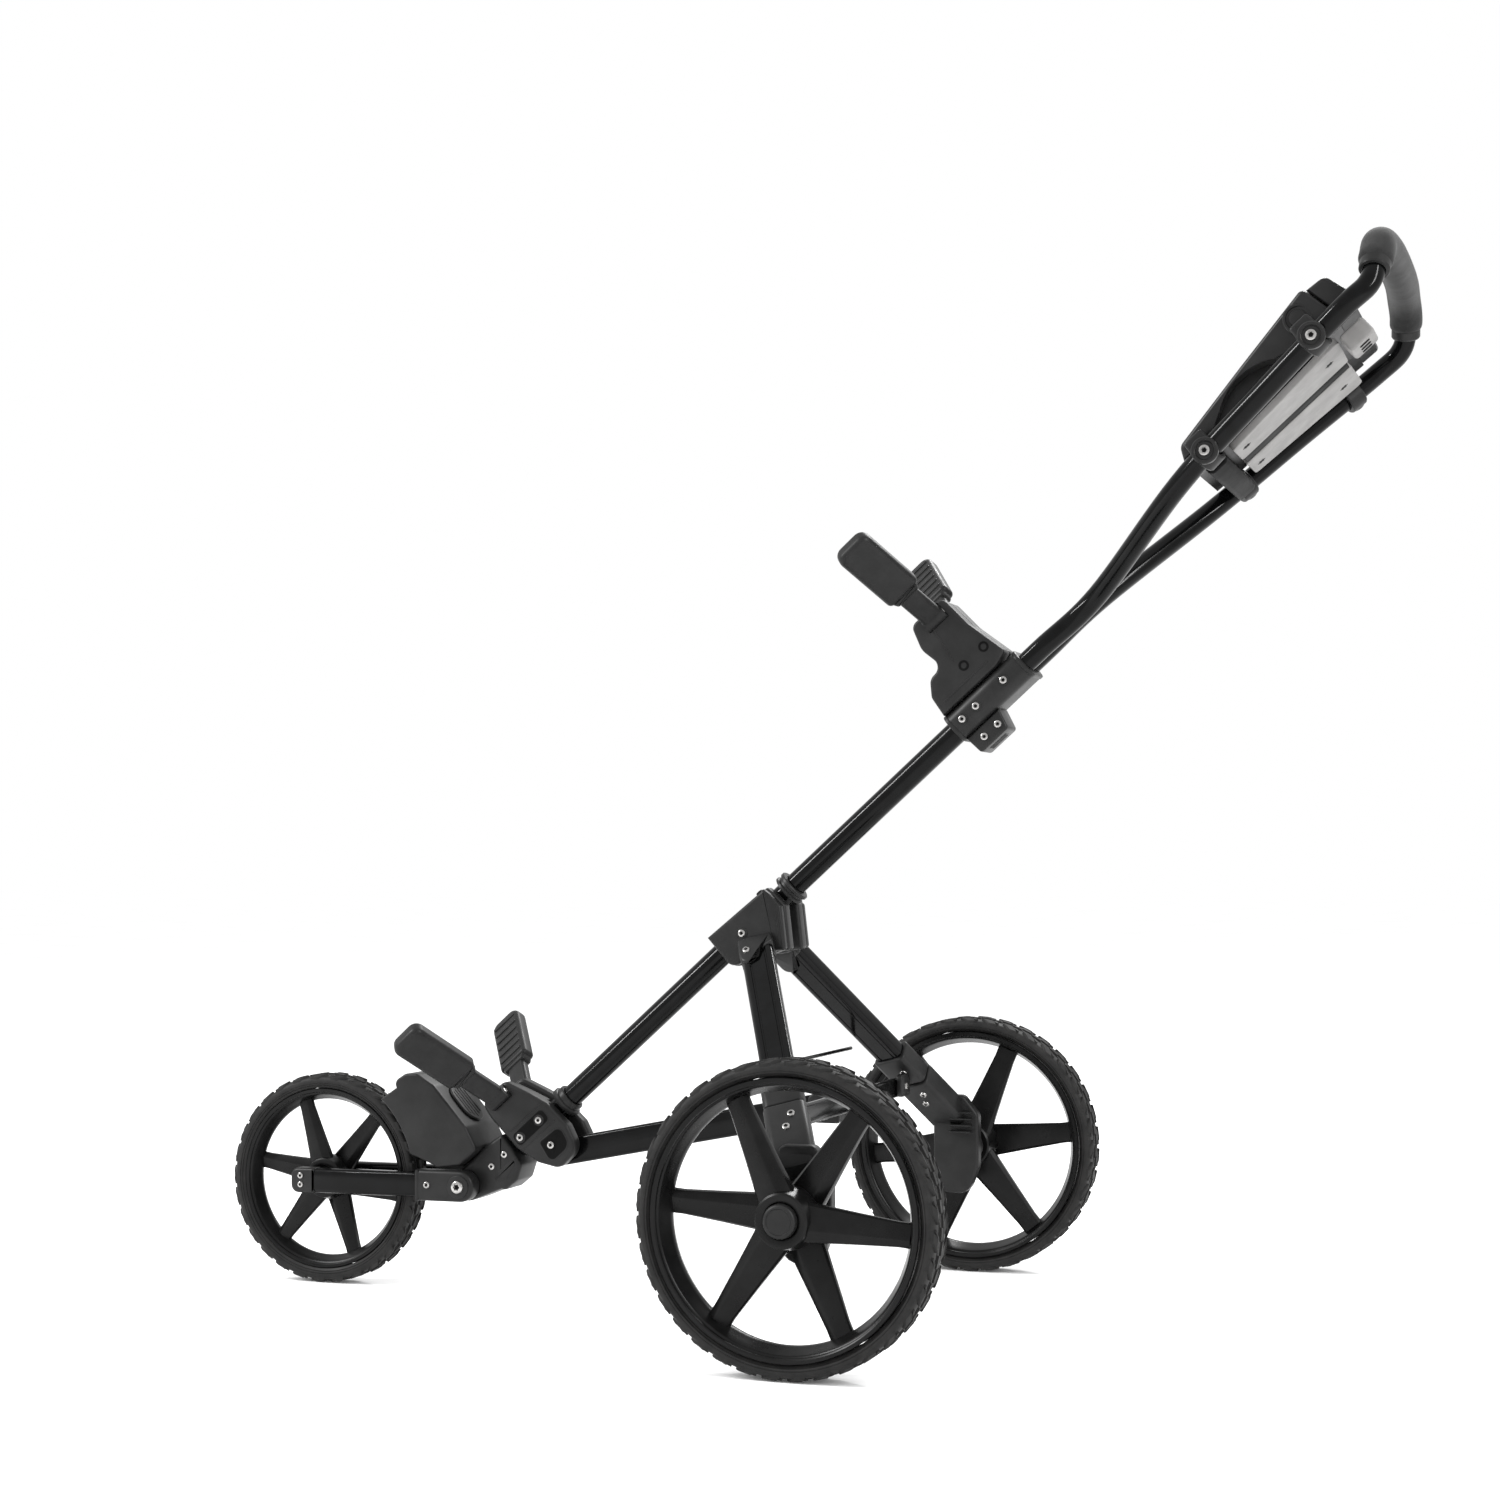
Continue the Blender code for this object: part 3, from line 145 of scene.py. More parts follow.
def inset(outline, distance):
    """The outline moved inwards, each corner along its bisector."""
    area = sum(a.x * b.y - b.x * a.y for a, b in zip(outline, outline[1:] + outline[:1]))
    turn = 1 if area > 0 else -1
    moved = []
    for index, here in enumerate(outline):
        back = (here - outline[index - 1]).normalized()
        ahead = (outline[(index + 1) % len(outline)] - here).normalized()
        normals = [Vector((-d.y, d.x)) * turn for d in (back, ahead)]
        middle = (normals[0] + normals[1]).normalized()
        reach = max(middle.dot(normals[0]), 0.5)
        moved.append(here + middle * (distance / reach))
    return moved


# ---------------- solids as (points, faces)
def rings_solid(rings, looped=False):
    """Joins equal rings of points into a skin, closed by caps or into a loop."""
    count = len(rings[0])
    points = [p for ring in rings for p in ring]
    faces = []
    last = len(rings) if looped else len(rings) - 1
    for r in range(last):
        low, high = r * count, (r + 1) % len(rings) * count
        for i in range(count):
            j = (i + 1) % count
            faces.append((low + i, low + j, high + j, high + i))
    if not looped:
        faces.append(tuple(range(count))[::-1])
        faces.append(tuple(range((len(rings) - 1) * count, len(rings) * count)))
    return points, faces


def lathe(profile, steps=64, looped=True, lobes=0, lobe_rows=(), lobe_depth=0.0):
    """A profile of (radius, height) turned about local Z; some rows may have a lobed radius."""
    rings = []
    for row, (radius, height) in enumerate(profile):
        ring = []
        for step in range(steps):
            turn = math.tau * step / steps
            reach = radius * (1 + lobe_depth * math.cos(lobes * turn)) if row in lobe_rows else radius
            ring.append(Vector((reach * math.cos(turn), reach * math.sin(turn), height)))
        rings.append(ring)
    return rings_solid(rings, looped)


def mirrored(profile):
    """A lathe profile carried on below Z = 0."""
    return profile + [(radius, -height) for radius, height in profile[::-1]]


def disc_profile(radius, height, edge, steps=4):
    """A round plug from height 0, its top edge rounded."""
    top = [(radius - edge + edge * math.cos(t), height - edge + edge * math.sin(t))
           for t in (math.pi / 2 * i / steps for i in range(steps + 1))]
    return [(radius, 0)] + top


def slab(outline, thickness, edge=0.0, steps=3):
    """A plate centred on local Z with rounded edges."""
    half = thickness / 2
    rows = [(0.0, half)]
    if edge:
        turns = [math.pi / 2 * i / steps for i in range(steps + 1)]
        rows = [(edge - edge * math.sin(t), half - edge + edge * math.cos(t)) for t in turns]
    rows = [(d, -h) for d, h in rows] + [(d, h) for d, h in rows[::-1]]
    rings = [[Vector((p.x, p.y, h)) for p in (inset(outline, d) if d > 1e-9 else outline)] for d, h in rows]
    return rings_solid(rings)


def tube(points, radius, sides=28):
    """A round bar through the points; radius is one number or one for each point."""
    radii = radius if isinstance(radius, (list, tuple)) else [radius] * len(points)
    rings, side = [], None
    for index, point in enumerate(points):
        ahead = (points[min(index + 1, len(points) - 1)] - points[max(index - 1, 0)]).normalized()
        side = side if side else ahead.orthogonal()
        side = (side - ahead * side.dot(ahead)).normalized()
        other = ahead.cross(side)
        rings.append([point + (side * math.cos(t) + other * math.sin(t)) * radii[index]
                      for t in (math.tau * i / sides for i in range(sides))])
    return rings_solid(rings)


def smooth(points, per_span=8):
    """A Catmull-Rom curve through the points."""
    ends = [points[0] * 2 - points[1]] + list(points) + [points[-1] * 2 - points[-2]]
    curve = []
    for a, b, c, d in zip(ends, ends[1:], ends[2:], ends[3:]):
        for step in range(per_span):
            t = step / per_span
            bend = (2 * a - 5 * b + 4 * c - d) * t**2 + (3 * b - a - 3 * c + d) * t**3
            curve.append(0.5 * (2 * b + (c - a) * t + bend))
    return curve + [points[-1]]


# ---------------- pieces
SHARP_ANGLE = math.radians(32)
FEWEST_FACES = 8


class Piece:
    """One visible piece: solids are added to one mesh, in the piece's material or their own."""

    def __init__(self, name, surface):
        self.name, self.surface = name, surface
        self.shape = bmesh.new()
        self.surfaces = []

    def add(self, solid, matrix=Matrix.Identity(4), surface=None):
        points, faces = solid
        surface = surface or self.surface
        if surface not in self.surfaces:
            self.surfaces.append(surface)
        verts = [self.shape.verts.new(matrix @ Vector(p)) for p in points]
        made = []
        for face in faces:
            made.append(self.shape.faces.new([verts[i] for i in face]))
            made[-1].material_index = self.surfaces.index(surface)
            made[-1].smooth = len(face) <= 4
        bmesh.ops.recalc_face_normals(self.shape, faces=made)

    def done(self, body, node=None, cutters=()):
        """Makes the object, which rides on the body in place of the node."""
        mesh = bpy.data.meshes.new(self.name)
        self.shape.to_mesh(mesh)
        self.shape.free()
        for surface in self.surfaces:
            mesh.materials.append(surface)
        mesh.set_sharp_from_angle(angle=SHARP_ANGLE)
        made = bpy.data.objects.new(self.name, mesh)
        bpy.context.scene.collection.objects.link(made)
        for cutter in cutters:
            carve(made, cutter)
        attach(made, body)
        if node:
            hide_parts(node)
        return made


def carve(made, solid_and_matrix):
    """Cuts a solid out of a piece and keeps the result as its mesh."""
    solid, matrix = solid_and_matrix
    mesh = bpy.data.meshes.new("cutter")
    mesh.from_pydata([matrix @ Vector(p) for p in solid[0]], [], solid[1])
    shape = bmesh.new()
    shape.from_mesh(mesh)
    bmesh.ops.recalc_face_normals(shape, faces=shape.faces)
    shape.to_mesh(mesh)
    shape.free()
    cutter = bpy.data.objects.new("cutter", mesh)
    bpy.context.scene.collection.objects.link(cutter)
    modifier = made.modifiers.new("cut", "BOOLEAN")
    modifier.solver = "EXACT"
    modifier.object = cutter
    bpy.context.view_layer.update()
    evaluated = made.evaluated_get(bpy.context.evaluated_depsgraph_get())
    result = bpy.data.meshes.new_from_object(evaluated)
    made.modifiers.clear()
    assert len(result.polygons) > FEWEST_FACES, made.name + " was cut away"
    made.data = result
    result.set_sharp_from_angle(angle=SHARP_ANGLE)
    bpy.data.objects.remove(cutter)


# ---------------- materials
class Surface:
    """A Principled material with helpers for procedural detail in object space."""

    def __init__(self, name, roughness, metallic=0.0, **sockets):
        self.material = bpy.data.materials.new(name)
        self.material.use_nodes = True
        self.tree = self.material.node_tree
        self.shader = self.tree.nodes["Principled BSDF"]
        self.shader.inputs["Roughness"].default_value = roughness
        self.shader.inputs["Metallic"].default_value = metallic
        for label, value in sockets.items():
            self.shader.inputs[label.replace("_", " ")].default_value = value
        self.coordinates = self.tree.nodes.new("ShaderNodeTexCoord").outputs["Object"]
        self.heights = []

    def link(self, output, target):
        self.tree.links.new(output, target)

    def noise(self, scale, detail=3.0, rough=0.55):
        node = self.tree.nodes.new("ShaderNodeTexNoise")
        node.inputs["Scale"].default_value = scale
        node.inputs["Detail"].default_value = detail
        node.inputs["Roughness"].default_value = rough
        self.link(self.coordinates, node.inputs["Vector"])
        return node.outputs["Fac"]

    def cells(self, scale):
        node = self.tree.nodes.new("ShaderNodeTexVoronoi")
        node.inputs["Scale"].default_value = scale
        self.link(self.coordinates, node.inputs["Vector"])
        return node.outputs["Distance"]

    def ramp(self, value, stops):
        node = self.tree.nodes.new("ShaderNodeValToRGB")
        elements = node.color_ramp.elements
        while len(elements) < len(stops):
            elements.new(0.5)
        for element, (position, colour) in zip(elements, stops):
            element.position = position
            element.color = (*colour, 1.0)
        self.link(value, node.inputs["Fac"])
        return node.outputs["Color"]

    def colour(self, value, dark, light, low=0.35, high=0.65):
        self.link(self.ramp(value, [(low, dark), (high, light)]), self.shader.inputs["Base Color"])

    def roughness(self, value, low, high):
        node = self.tree.nodes.new("ShaderNodeMapRange")
        node.inputs["From Min"].default_value = 0.3
        node.inputs["From Max"].default_value = 0.7
        node.inputs["To Min"].default_value = low
        node.inputs["To Max"].default_value = high
        self.link(value, node.inputs["Value"])
        self.link(node.outputs["Result"], self.shader.inputs["Roughness"])

    def bump(self, value, distance, strength=1.0):
        node = self.tree.nodes.new("ShaderNodeBump")
        node.inputs["Distance"].default_value = distance
        node.inputs["Strength"].default_value = strength
        self.link(value, node.inputs["Height"])
        if self.heights:
            self.link(self.heights[-1], node.inputs["Normal"])
        self.heights.append(node.outputs["Normal"])
        self.link(node.outputs["Normal"], self.shader.inputs["Normal"])


def grey(value, warmth=0.0):
    return (value * (1 + warmth), value, value * (1 - warmth))


def painted_tube():
    made = Surface("powder_coat", 0.2, Specular_IOR_Level=0.13)
    made.colour(made.noise(60.0), grey(0.0015), grey(0.003, -0.05))
    made.roughness(made.noise(14.0, 2.0), 0.1, 0.18)
    made.bump(made.noise(420.0, 2.0), 0.00001, 0.1)
    return made.material


def moulded(name, dark, light, rough_low, rough_high, grain, grain_height, level=0.22):
    """Moulded plastic with a fine spark-eroded grain and slight handling marks."""
    made = Surface(name, rough_high, Specular_IOR_Level=level)
    made.colour(made.noise(38.0, 4.0), dark, light)
    made.roughness(made.noise(22.0, 5.0, 0.65), rough_low, rough_high)
    made.bump(made.noise(grain, 2.0, 0.6), grain_height, 0.5)
    made.bump(made.noise(grain * 0.12, 2.0), grain_height * 2, 0.25)
    return made.material


def rubber(name, dark, light, rough_low, rough_high, height):
    made = Surface(name, rough_high, Specular_IOR_Level=0.19)
    made.colour(made.noise(55.0, 6.0, 0.7), dark, light)
    made.roughness(made.noise(30.0, 4.0), rough_low, rough_high)
    made.bump(made.noise(900.0, 3.0, 0.7), height, 0.6)
    made.bump(made.noise(120.0, 3.0), height * 3, 0.35)
    return made.material


def foam():
    """Closed-cell foam: small pores and a soft, dry sheen."""
    made = Surface("closed_cell_foam", 0.9, Specular_IOR_Level=0.25, Sheen_Weight=0.12, Sheen_Roughness=0.5)
    made.colour(made.noise(70.0, 5.0, 0.7), grey(0.006), grey(0.014))
    made.roughness(made.noise(45.0, 3.0), 0.78, 0.95)
    made.bump(made.cells(750.0), 0.00035, 0.5)
    made.bump(made.noise(90.0, 3.0), 0.0006, 0.3)
    return made.material


def steel():
    made = Surface("stainless_steel", 0.2, 1.0)
    made.colour(made.noise(90.0, 3.0), grey(0.32, 0.02), grey(0.46, 0.02))
    made.roughness(made.noise(260.0, 4.0), 0.14, 0.32)
    made.bump(made.noise(1400.0, 2.0), 0.00002, 0.4)
    return made.material


PAINT = painted_tube()
WHEEL = moulded("wheel_plastic", grey(0.0028), grey(0.0055), 0.24, 0.34, 1500.0, 0.00003, 0.15)
PLASTIC = moulded("grained_plastic", grey(0.008), grey(0.013), 0.34, 0.46, 1900.0, 0.00005)
CONSOLE = moulded("console_plastic", grey(0.0085), grey(0.0125), 0.26, 0.38, 2300.0, 0.00003)
# Painted shade: a near-black plastic for screw sockets, holes, slots, recessed panels and the console
# crossbar, dark where shade falls
PAINTED_SHADE = moulded("painted_shade_plastic", grey(0.0015), grey(0.003), 0.5, 0.65, 1500.0, 0.00003, 0.08)
TYRE = rubber("tyre_rubber", grey(0.0085), grey(0.016, 0.03), 0.48, 0.66, 0.00005)
PAD = rubber("pad_rubber", grey(0.008), grey(0.013), 0.34, 0.48, 0.00004)
LIGHT_GREY = moulded("light_grey_plastic", grey(0.18, 0.02), grey(0.23, 0.02), 0.4, 0.52, 1700.0, 0.00004)
FOAM = foam()
STEEL = steel()


# ---------------- small parts
SCREW_RADIUS = 0.0042
PIN_RADIUS = 0.004


def screw(piece, point, normal, radius=SCREW_RADIUS, proud=0.0018):
    """A stainless pan head with a six-lobed socket."""
    seat = facing(point, normal)
    profile = [(radius, -0.001), (radius, proud * 0.35), (radius * 0.9, proud * 0.78),
               (radius * 0.7, proud), (radius * 0.48, proud), (radius * 0.42, proud * 0.35)]
    piece.add(lathe(profile, 36, False, 6, (4, 5), 0.14), seat, STEEL)
    # the socket is a dark disc in painted shade, where the recess would be shaded
    piece.add(lathe([(radius * 0.4, proud * 0.3), (radius * 0.4, proud * 0.38)], 18, False), seat, PAINTED_SHADE)


def seated_screw(piece, along, above, y, side, washer_radius, lift):
    """A screw on a washer in the trolley's side, at a place along and above the main tubes."""
    washer(piece, frame_point(along, above, y), (0, side, 0), washer_radius)
    screw(piece, frame_point(along, above, y + side * lift), (0, side, 0))


def washer(piece, point, normal, radius, surface=None, height=0.0008):
    profile = [(radius, -0.0005), (radius, height * 0.7), (radius * 0.96, height), (radius * 0.6, height),
               (radius * 0.6, -0.0005)]
    piece.add(lathe(profile, 40), facing(point, normal), surface)


def recess(piece, outline, matrix, rim=0.0012, proud=0.0006):
    """A fine raised border round a dark panel in painted shade, which stands in for a shaded hollow."""
    piece.add(slab(outline, proud, proud * 0.4, 2), matrix)
    piece.add(slab(inset(outline, rim), proud + 0.0002), matrix, PAINTED_SHADE)


def cross_pin(piece, centre, reach, radius=PIN_RADIUS):
    """A steel pin across the trolley, reaching as far to either side."""
    offset = Vector((0, reach, 0))
    piece.add(tube([centre - offset, centre + offset], radius), surface=STEEL)


# ---------------- wheels
class WheelSize:
    def __init__(self, radius, tyre_half, rim_radius, lip_inner, rim_half, hub_radius, hub_half, spoke):
        self.radius, self.tyre_half = radius, tyre_half
        self.rim_radius, self.lip_inner, self.rim_half = rim_radius, lip_inner, rim_half
        self.hub_radius, self.hub_half, self.spoke = hub_radius, hub_half, spoke


REAR = WheelSize(REAR_RADIUS, 0.0228, 0.133, 0.1277, 0.0235, 0.027, 0.027, (0.038, 0.0205))
FRONT = WheelSize(FRONT_RADIUS, 0.018, 0.103, 0.0986, 0.016, 0.023, 0.0165, (0.03, 0.016))
WHEEL_STEPS = 128
SPOKES = 6
FIRST_SPOKE = {"left": -5.0, "right": -8.0, "front": -10.0}
LUG_PITCH = 0.0262
# (depth below the wheel's radius, share of the tyre's half width), from the bead to the crown
CROWN = ((0.0166, 0.82), (0.0150, 0.90), (0.0125, 0.975), (0.0095, 1.0), (0.0068, 0.985), (0.0048, 0.92),
         (0.0036, 0.82), (0.0028, 0.64), (0.0025, 0.40), (0.0037, 0.385), (0.0037, 0.285), (0.0022, 0.27))
# a tread lug: (distance round the tyre in pitches, share of the half width) corners, and its height
LUGS = (
    (((-0.4, 0.68), (0.06, 0.68), (0.24, 0.8), (0.4, 0.97), (0.02, 0.985), (-0.22, 0.84)), 0.0026),
    (((0.14, 0.66), (0.3, 0.66), (0.46, 0.82), (0.34, 0.84)), 0.0018),
    (((-0.46, 0.3), (0.02, 0.3), (0.34, 0.62), (-0.14, 0.62)), 0.0016),
    (((-0.1, 0.04), (0.36, 0.04), (0.46, 0.22), (0.0, 0.22)), 0.0016),
)
# a spoke's section: (share of its width, share of its depth)
SPOKE_SECTION = ((-0.5, 0.1), (-0.47, 0.42), (-0.22, 0.98), (-0.14, 1.0), (0.44, 0.34), (0.5, 0.05),
                 (0.5, -0.45), (0.4, -0.75), (0.0, -0.9), (-0.4, -0.75), (-0.5, -0.45))


def crown_depth(share):
    """How far the carcass lies below the wheel's radius, at a share of the tyre's half width."""
    rows = sorted((s, d) for d, s in CROWN[3:])
    share = abs(share)
    for (low, depth), (high, deeper) in zip(rows, rows[1:]):
        if low <= share <= high:
            return depth + (deeper - depth) * (share - low) / (high - low)
    return rows[0][1] if share < rows[0][0] else rows[-1][1]


def tread_lug(size, angle, corners, height):
    """A rubber block on the crown: corners are (distance round the tyre, share of the half width)."""
    rings = []
    middle = [sum(c[i] for c in corners) / len(corners) for i in (0, 1)]
    for lift, shrink in ((-0.001, 1.0), (height * 0.75, 0.97), (height, 0.86)):
        ring = []
        for run, share in corners:
            run = middle[0] + (run - middle[0]) * shrink
            share = middle[1] + (share - middle[1]) * shrink
            reach = min(size.radius - crown_depth(share) + lift, size.radius)
            turn = angle + run / size.radius
            ring.append(Vector((reach * math.cos(turn), reach * math.sin(turn), share * size.tyre_half)))
        rings.append(ring)
    return rings_solid(rings)


def make_tyre(body, size, matrix):
    half, radius = size.tyre_half, size.radius
    outer = [(radius - depth, share * half) for depth, share in CROWN]
    piece = Piece(body + "_tread", TYRE)
    piece.add(lathe(mirrored(outer), WHEEL_STEPS), matrix)
    for side in (-1, 1):
        for depth, share in ((0.0136, 0.952), (0.0112, 0.99)):
            reach, at = radius - depth, side * half * share
            low, high = at - side * 0.0006, at + side * 0.0006
            bead = [(reach - 0.0005, low), (reach, high), (reach + 0.0005, low)]
            piece.add(lathe(bead, WHEEL_STEPS), matrix)
    pitches = round(math.tau * radius / LUG_PITCH)
    pitch = math.tau * radius / pitches
    for number in range(pitches):
        for side in (-1, 1):
            angle = math.tau * (number + (0.5 if side > 0 else 0.0)) / pitches
            for corners, height in LUGS:
                spread = [(run * pitch, side * share) for run, share in corners]
                piece.add(tread_lug(size, angle, spread, height), matrix)
    piece.done(body, body + "_tyre")


def spoke_solid(size, outer_face):
    """A tapering spoke with a creased face, its root at the hub and its tip in the barrel."""
    root, tip = size.spoke
    scale = size.hub_half / REAR.hub_half
    start, end = size.hub_radius * 0.7, size.lip_inner - 0.0065
    side = 1 if outer_face else -1
    rings = []
    for share in (0.0, 0.12, 0.5, 0.88, 1.0):
        wide = root + (tip - root) * share
        wide *= 1.0 + 0.16 * max(0.0, (share - 0.84) / 0.16)
        centre = side * scale * (0.0125 - 0.0085 * share)
        deep = scale * (0.011 - 0.004 * share)
        reach = start + (end - start) * share
        rings.append([Vector((reach, out * wide, centre + rise * deep)) for out, rise in SPOKE_SECTION])
    return rings_solid(rings)


def make_rim(body, size, matrix, first_spoke):
    half, lip, inner = size.rim_half, size.rim_radius, size.lip_inner
    well = inner - 0.009
    outer = [(lip - 0.0045, half * 0.62), (lip - 0.0045, half * 0.8), (lip - 0.0004, half * 0.86),
             (lip, half * 0.93), (lip - 0.0008, half), (inner + 0.0012, half), (inner, half * 0.965),
             (inner - 0.0006, half * 0.88), (inner - 0.0022, half * 0.84), (inner - 0.003, half * 0.78),
             (inner - 0.0052, half * 0.48), (well + 0.001, half * 0.2), (well, half * 0.08)]
    piece = Piece(body + "_web", WHEEL)
    piece.add(lathe(mirrored(outer), WHEEL_STEPS), matrix)
    hub, depth = size.hub_radius, size.hub_half
    face = [(0.0064, depth * 0.8), (hub * 0.62, depth * 0.86), (hub * 0.66, depth * 0.98),
            (hub * 0.72, depth), (hub * 0.9, depth), (hub * 0.97, depth * 0.95), (hub, depth * 0.85),
            (hub * 1.04, depth * 0.45), (hub * 1.1, depth * 0.3)]
    piece.add(lathe(mirrored(face), 72), matrix)
    for number in range(SPOKES):
        turn = Matrix.Rotation(math.radians(first_spoke) + math.tau * number / SPOKES, 4, "Z")
        piece.add(spoke_solid(size, number % 2 == 0), matrix @ turn)
    piece.done(body, body + "_rim")


def make_hub_cap(body, size, matrix):
    radius, rise = 0.0165, 0.006
    profile = [(radius, -0.003), (radius, rise * 0.45), (radius * 0.97, rise * 0.72),
               (radius * 0.9, rise * 0.92), (radius * 0.82, rise), (radius * 0.76, rise),
               (radius * 0.73, rise * 0.88), (radius * 0.4, rise * 0.94)]
    piece = Piece(body + "_hub_dish", PLASTIC)
    piece.add(lathe(profile, 72, False), matrix @ Matrix.Translation((0, 0, size.hub_half + 0.0003)))
    piece.done(body, body + "_hub_cap")


def wheel_axis(x, y, z, outward):
    return place((x, y, z), (1, 0, 0), (0, 0, -outward))


def make_wheels():
    for side_name, side in SIDES:
        axis = wheel_axis(REAR_AXLE_X, side * HALF_TRACK, REAR_RADIUS, side)
        body = side_name + "_wheel"
        make_tyre(body, REAR, axis)
        make_rim(body, REAR, axis, FIRST_SPOKE[side_name])
        make_hub_cap(body, REAR, axis)
    axis = wheel_axis(FRONT_AXLE_X, 0, FRONT_RADIUS, -1)
    make_tyre("front_wheel", FRONT, axis)
    make_rim("front_wheel", FRONT, axis, FIRST_SPOKE["front"])


# ---------------- front fork
FORK_Y = 0.0345
FORK_PIVOT = frame_point(-0.4424, 0.0045)
FORK_ARM_END_X = FORK_PIVOT.x - 0.054
FORK_CAP_X = FRONT_AXLE_X + 0.004
FORK_NOSE_X = FRONT_AXLE_X - 0.0275
FORK_SLOPE = math.atan2(FORK_PIVOT.z - FRONT_RADIUS, FORK_PIVOT.x - FRONT_AXLE_X)


def fork_plane(x, y):
    direction = Vector((math.cos(FORK_SLOPE), 0, math.sin(FORK_SLOPE)))
    z = FRONT_RADIUS + (x - FRONT_AXLE_X) * math.tan(FORK_SLOPE)
    return place((x, y, z), direction, (0, 0, 1))


def make_fork_arm(side_name, side):
    y = side * FORK_Y
    arm = Piece("fork_bar_" + side_name, PAINT)
    outline = rounded(box_outline(0, FORK_ARM_END_X - FORK_CAP_X + 0.038, 0.014, (0.0, 0.0)))
    arm.add(slab(outline, 0.016, 0.0052, 4), fork_plane(FORK_CAP_X - 0.008, y))
    arm.done("fork", "fork_arm_" + side_name)


def make_fork_nose(side_name, side):
    y = side * FORK_Y
    cap = Piece("fork_nose_" + side_name, PLASTIC)
    outline = rounded(box_outline(0, FORK_CAP_X - 0.0003 - FORK_NOSE_X, 0.0142, (0.009, 0.001)))
    cap.add(slab(outline, 0.0172, 0.0035, 4), fork_plane(FORK_NOSE_X, y))
    for rise in (-0.0045, 0.0055):
        point = fork_plane(FORK_NOSE_X + 0.0135, y + side * 0.0086) @ Vector((0, rise, 0))
        screw(cap, point, (0, side, 0), 0.0036)
    cap.done("fork", "fork_end_cap_" + side_name)


def make_fork_socket(side_name, side):
    sleeve = Piece("fork_socket_" + side_name, PLASTIC)
    length = FORK_PIVOT.x - FORK_ARM_END_X + 0.0175
    plane = fork_plane(FORK_ARM_END_X, side * FORK_Y + side * 0.0005)
    outline = rounded(box_outline(0, length, 0.0172, (0.004, 0.0165)), 8)
    sleeve.add(slab(outline, 0.021, 0.004, 4), plane)
    lip = rounded(box_outline(0, 0.0045, 0.0176, (0.002, 0.002)))
    sleeve.add(slab(lip, 0.0218, 0.001, 2), plane)
    face = side * FORK_Y + side * 0.011
    boss = facing(FORK_PIVOT + Vector((0, face - FORK_PIVOT.y, 0)), (0, side, 0))
    sleeve.add(lathe(disc_profile(0.0128, 0.0016, 0.0008), 48, False), boss)
    point = fork_plane(FORK_ARM_END_X + 0.015, face) @ Vector((0, 0.001, 0))
    screw(sleeve, point, (0, side, 0), 0.004)
    sleeve.done("fork", "fork_sleeve_" + side_name)


def make_fork():
    for side_name, side in SIDES:
        make_fork_arm(side_name, side)
        make_fork_nose(side_name, side)
        make_fork_socket(side_name, side)

    bolt = Piece("fork_bolt", STEEL)
    cross_pin(bolt, FORK_PIVOT, 0.046)
    for side in (-1, 1):
        screw(bolt, FORK_PIVOT + Vector((0, side * (FORK_Y + 0.0122), 0)), (0, side, 0), 0.0074, 0.0034)
    bolt.done("fork", "fork_pivot_bolt")

    axle = Piece("front_axle_bolt", STEEL)
    cross_pin(axle, Vector((FRONT_AXLE_X, 0, FRONT_RADIUS)), 0.04, 0.0058)
    start = FRONT.hub_half + 0.0006
    spacer = [(0.011, start), (0.011, 0.0258), (0.0062, 0.0258), (0.0062, start)]
    for side in (-1, 1):
        axle.add(lathe(spacer, 48), wheel_axis(FRONT_AXLE_X, 0, FRONT_RADIUS, side), PLASTIC)
    axle.done("fork", "front_axle")


# ---------------- lower frame
STRUT_PIN = Vector((REAR_AXLE_X - 0.379, 0, 0.161))
STRUT_REAR = Vector((REAR_AXLE_X - 0.078, 0, 0.2205))
CHEEK_IN = 0.0131
CHEEK_OUT = 0.03


def make_tube(name, body, node, start, end):
    """A straight open main tube with softly broken edges."""
    half = (end - start).length / 2
    outer, inner = TUBE_RADIUS, TUBE_RADIUS - TUBE_WALL
    profile = [(inner, half - 0.0003), (inner + 0.0003, half), (outer - 0.0005, half),
               (outer, half - 0.0005)]
    piece = Piece(name, PAINT)
    piece.add(lathe(mirrored(profile), 64), facing((start + end) / 2, end - start))
    piece.done(body, node)


def make_neck():
    neck = Piece("neck_casting", PLASTIC)
    outline = arc((-0.4424, 0.0045), 0.0185, 100, 250, 16)
    outline += rounded([(-0.412, -0.03, 0.006), (-0.392, -0.031, 0.006), (-0.376, -0.022, 0.006),
                        (-0.372, 0.0, 0.0), (-0.372, 0.0195, 0.003), (-0.395, 0.0225, 0.0),
                        (-0.428, 0.0225, 0.0)], 4)
    wide = 2 * (FORK_Y - 0.0105 - 0.0006)
    neck.add(slab(outline, wide, 0.0045, 4), side_plane(0.0))
    shade = rounded([(-0.425, -0.01, 0.004), (-0.4, -0.022, 0.004), (-0.38, -0.016, 0.004),
                     (-0.38, -0.01, 0.004)])
    for side in (-1, 1):
        face = side * (wide / 2)
        neck.add(slab(shade, 0.0006, 0.0002, 2), side_plane(face))
        for along in (-0.384, -0.405):
            screw(neck, frame_point(along, 0.0, face), (0, side, 0), 0.004)
    neck.done("chassis", "front_neck")


REST_FACE = -0.3935
REST_LOW = 0.05
REST_HIGH = 0.11


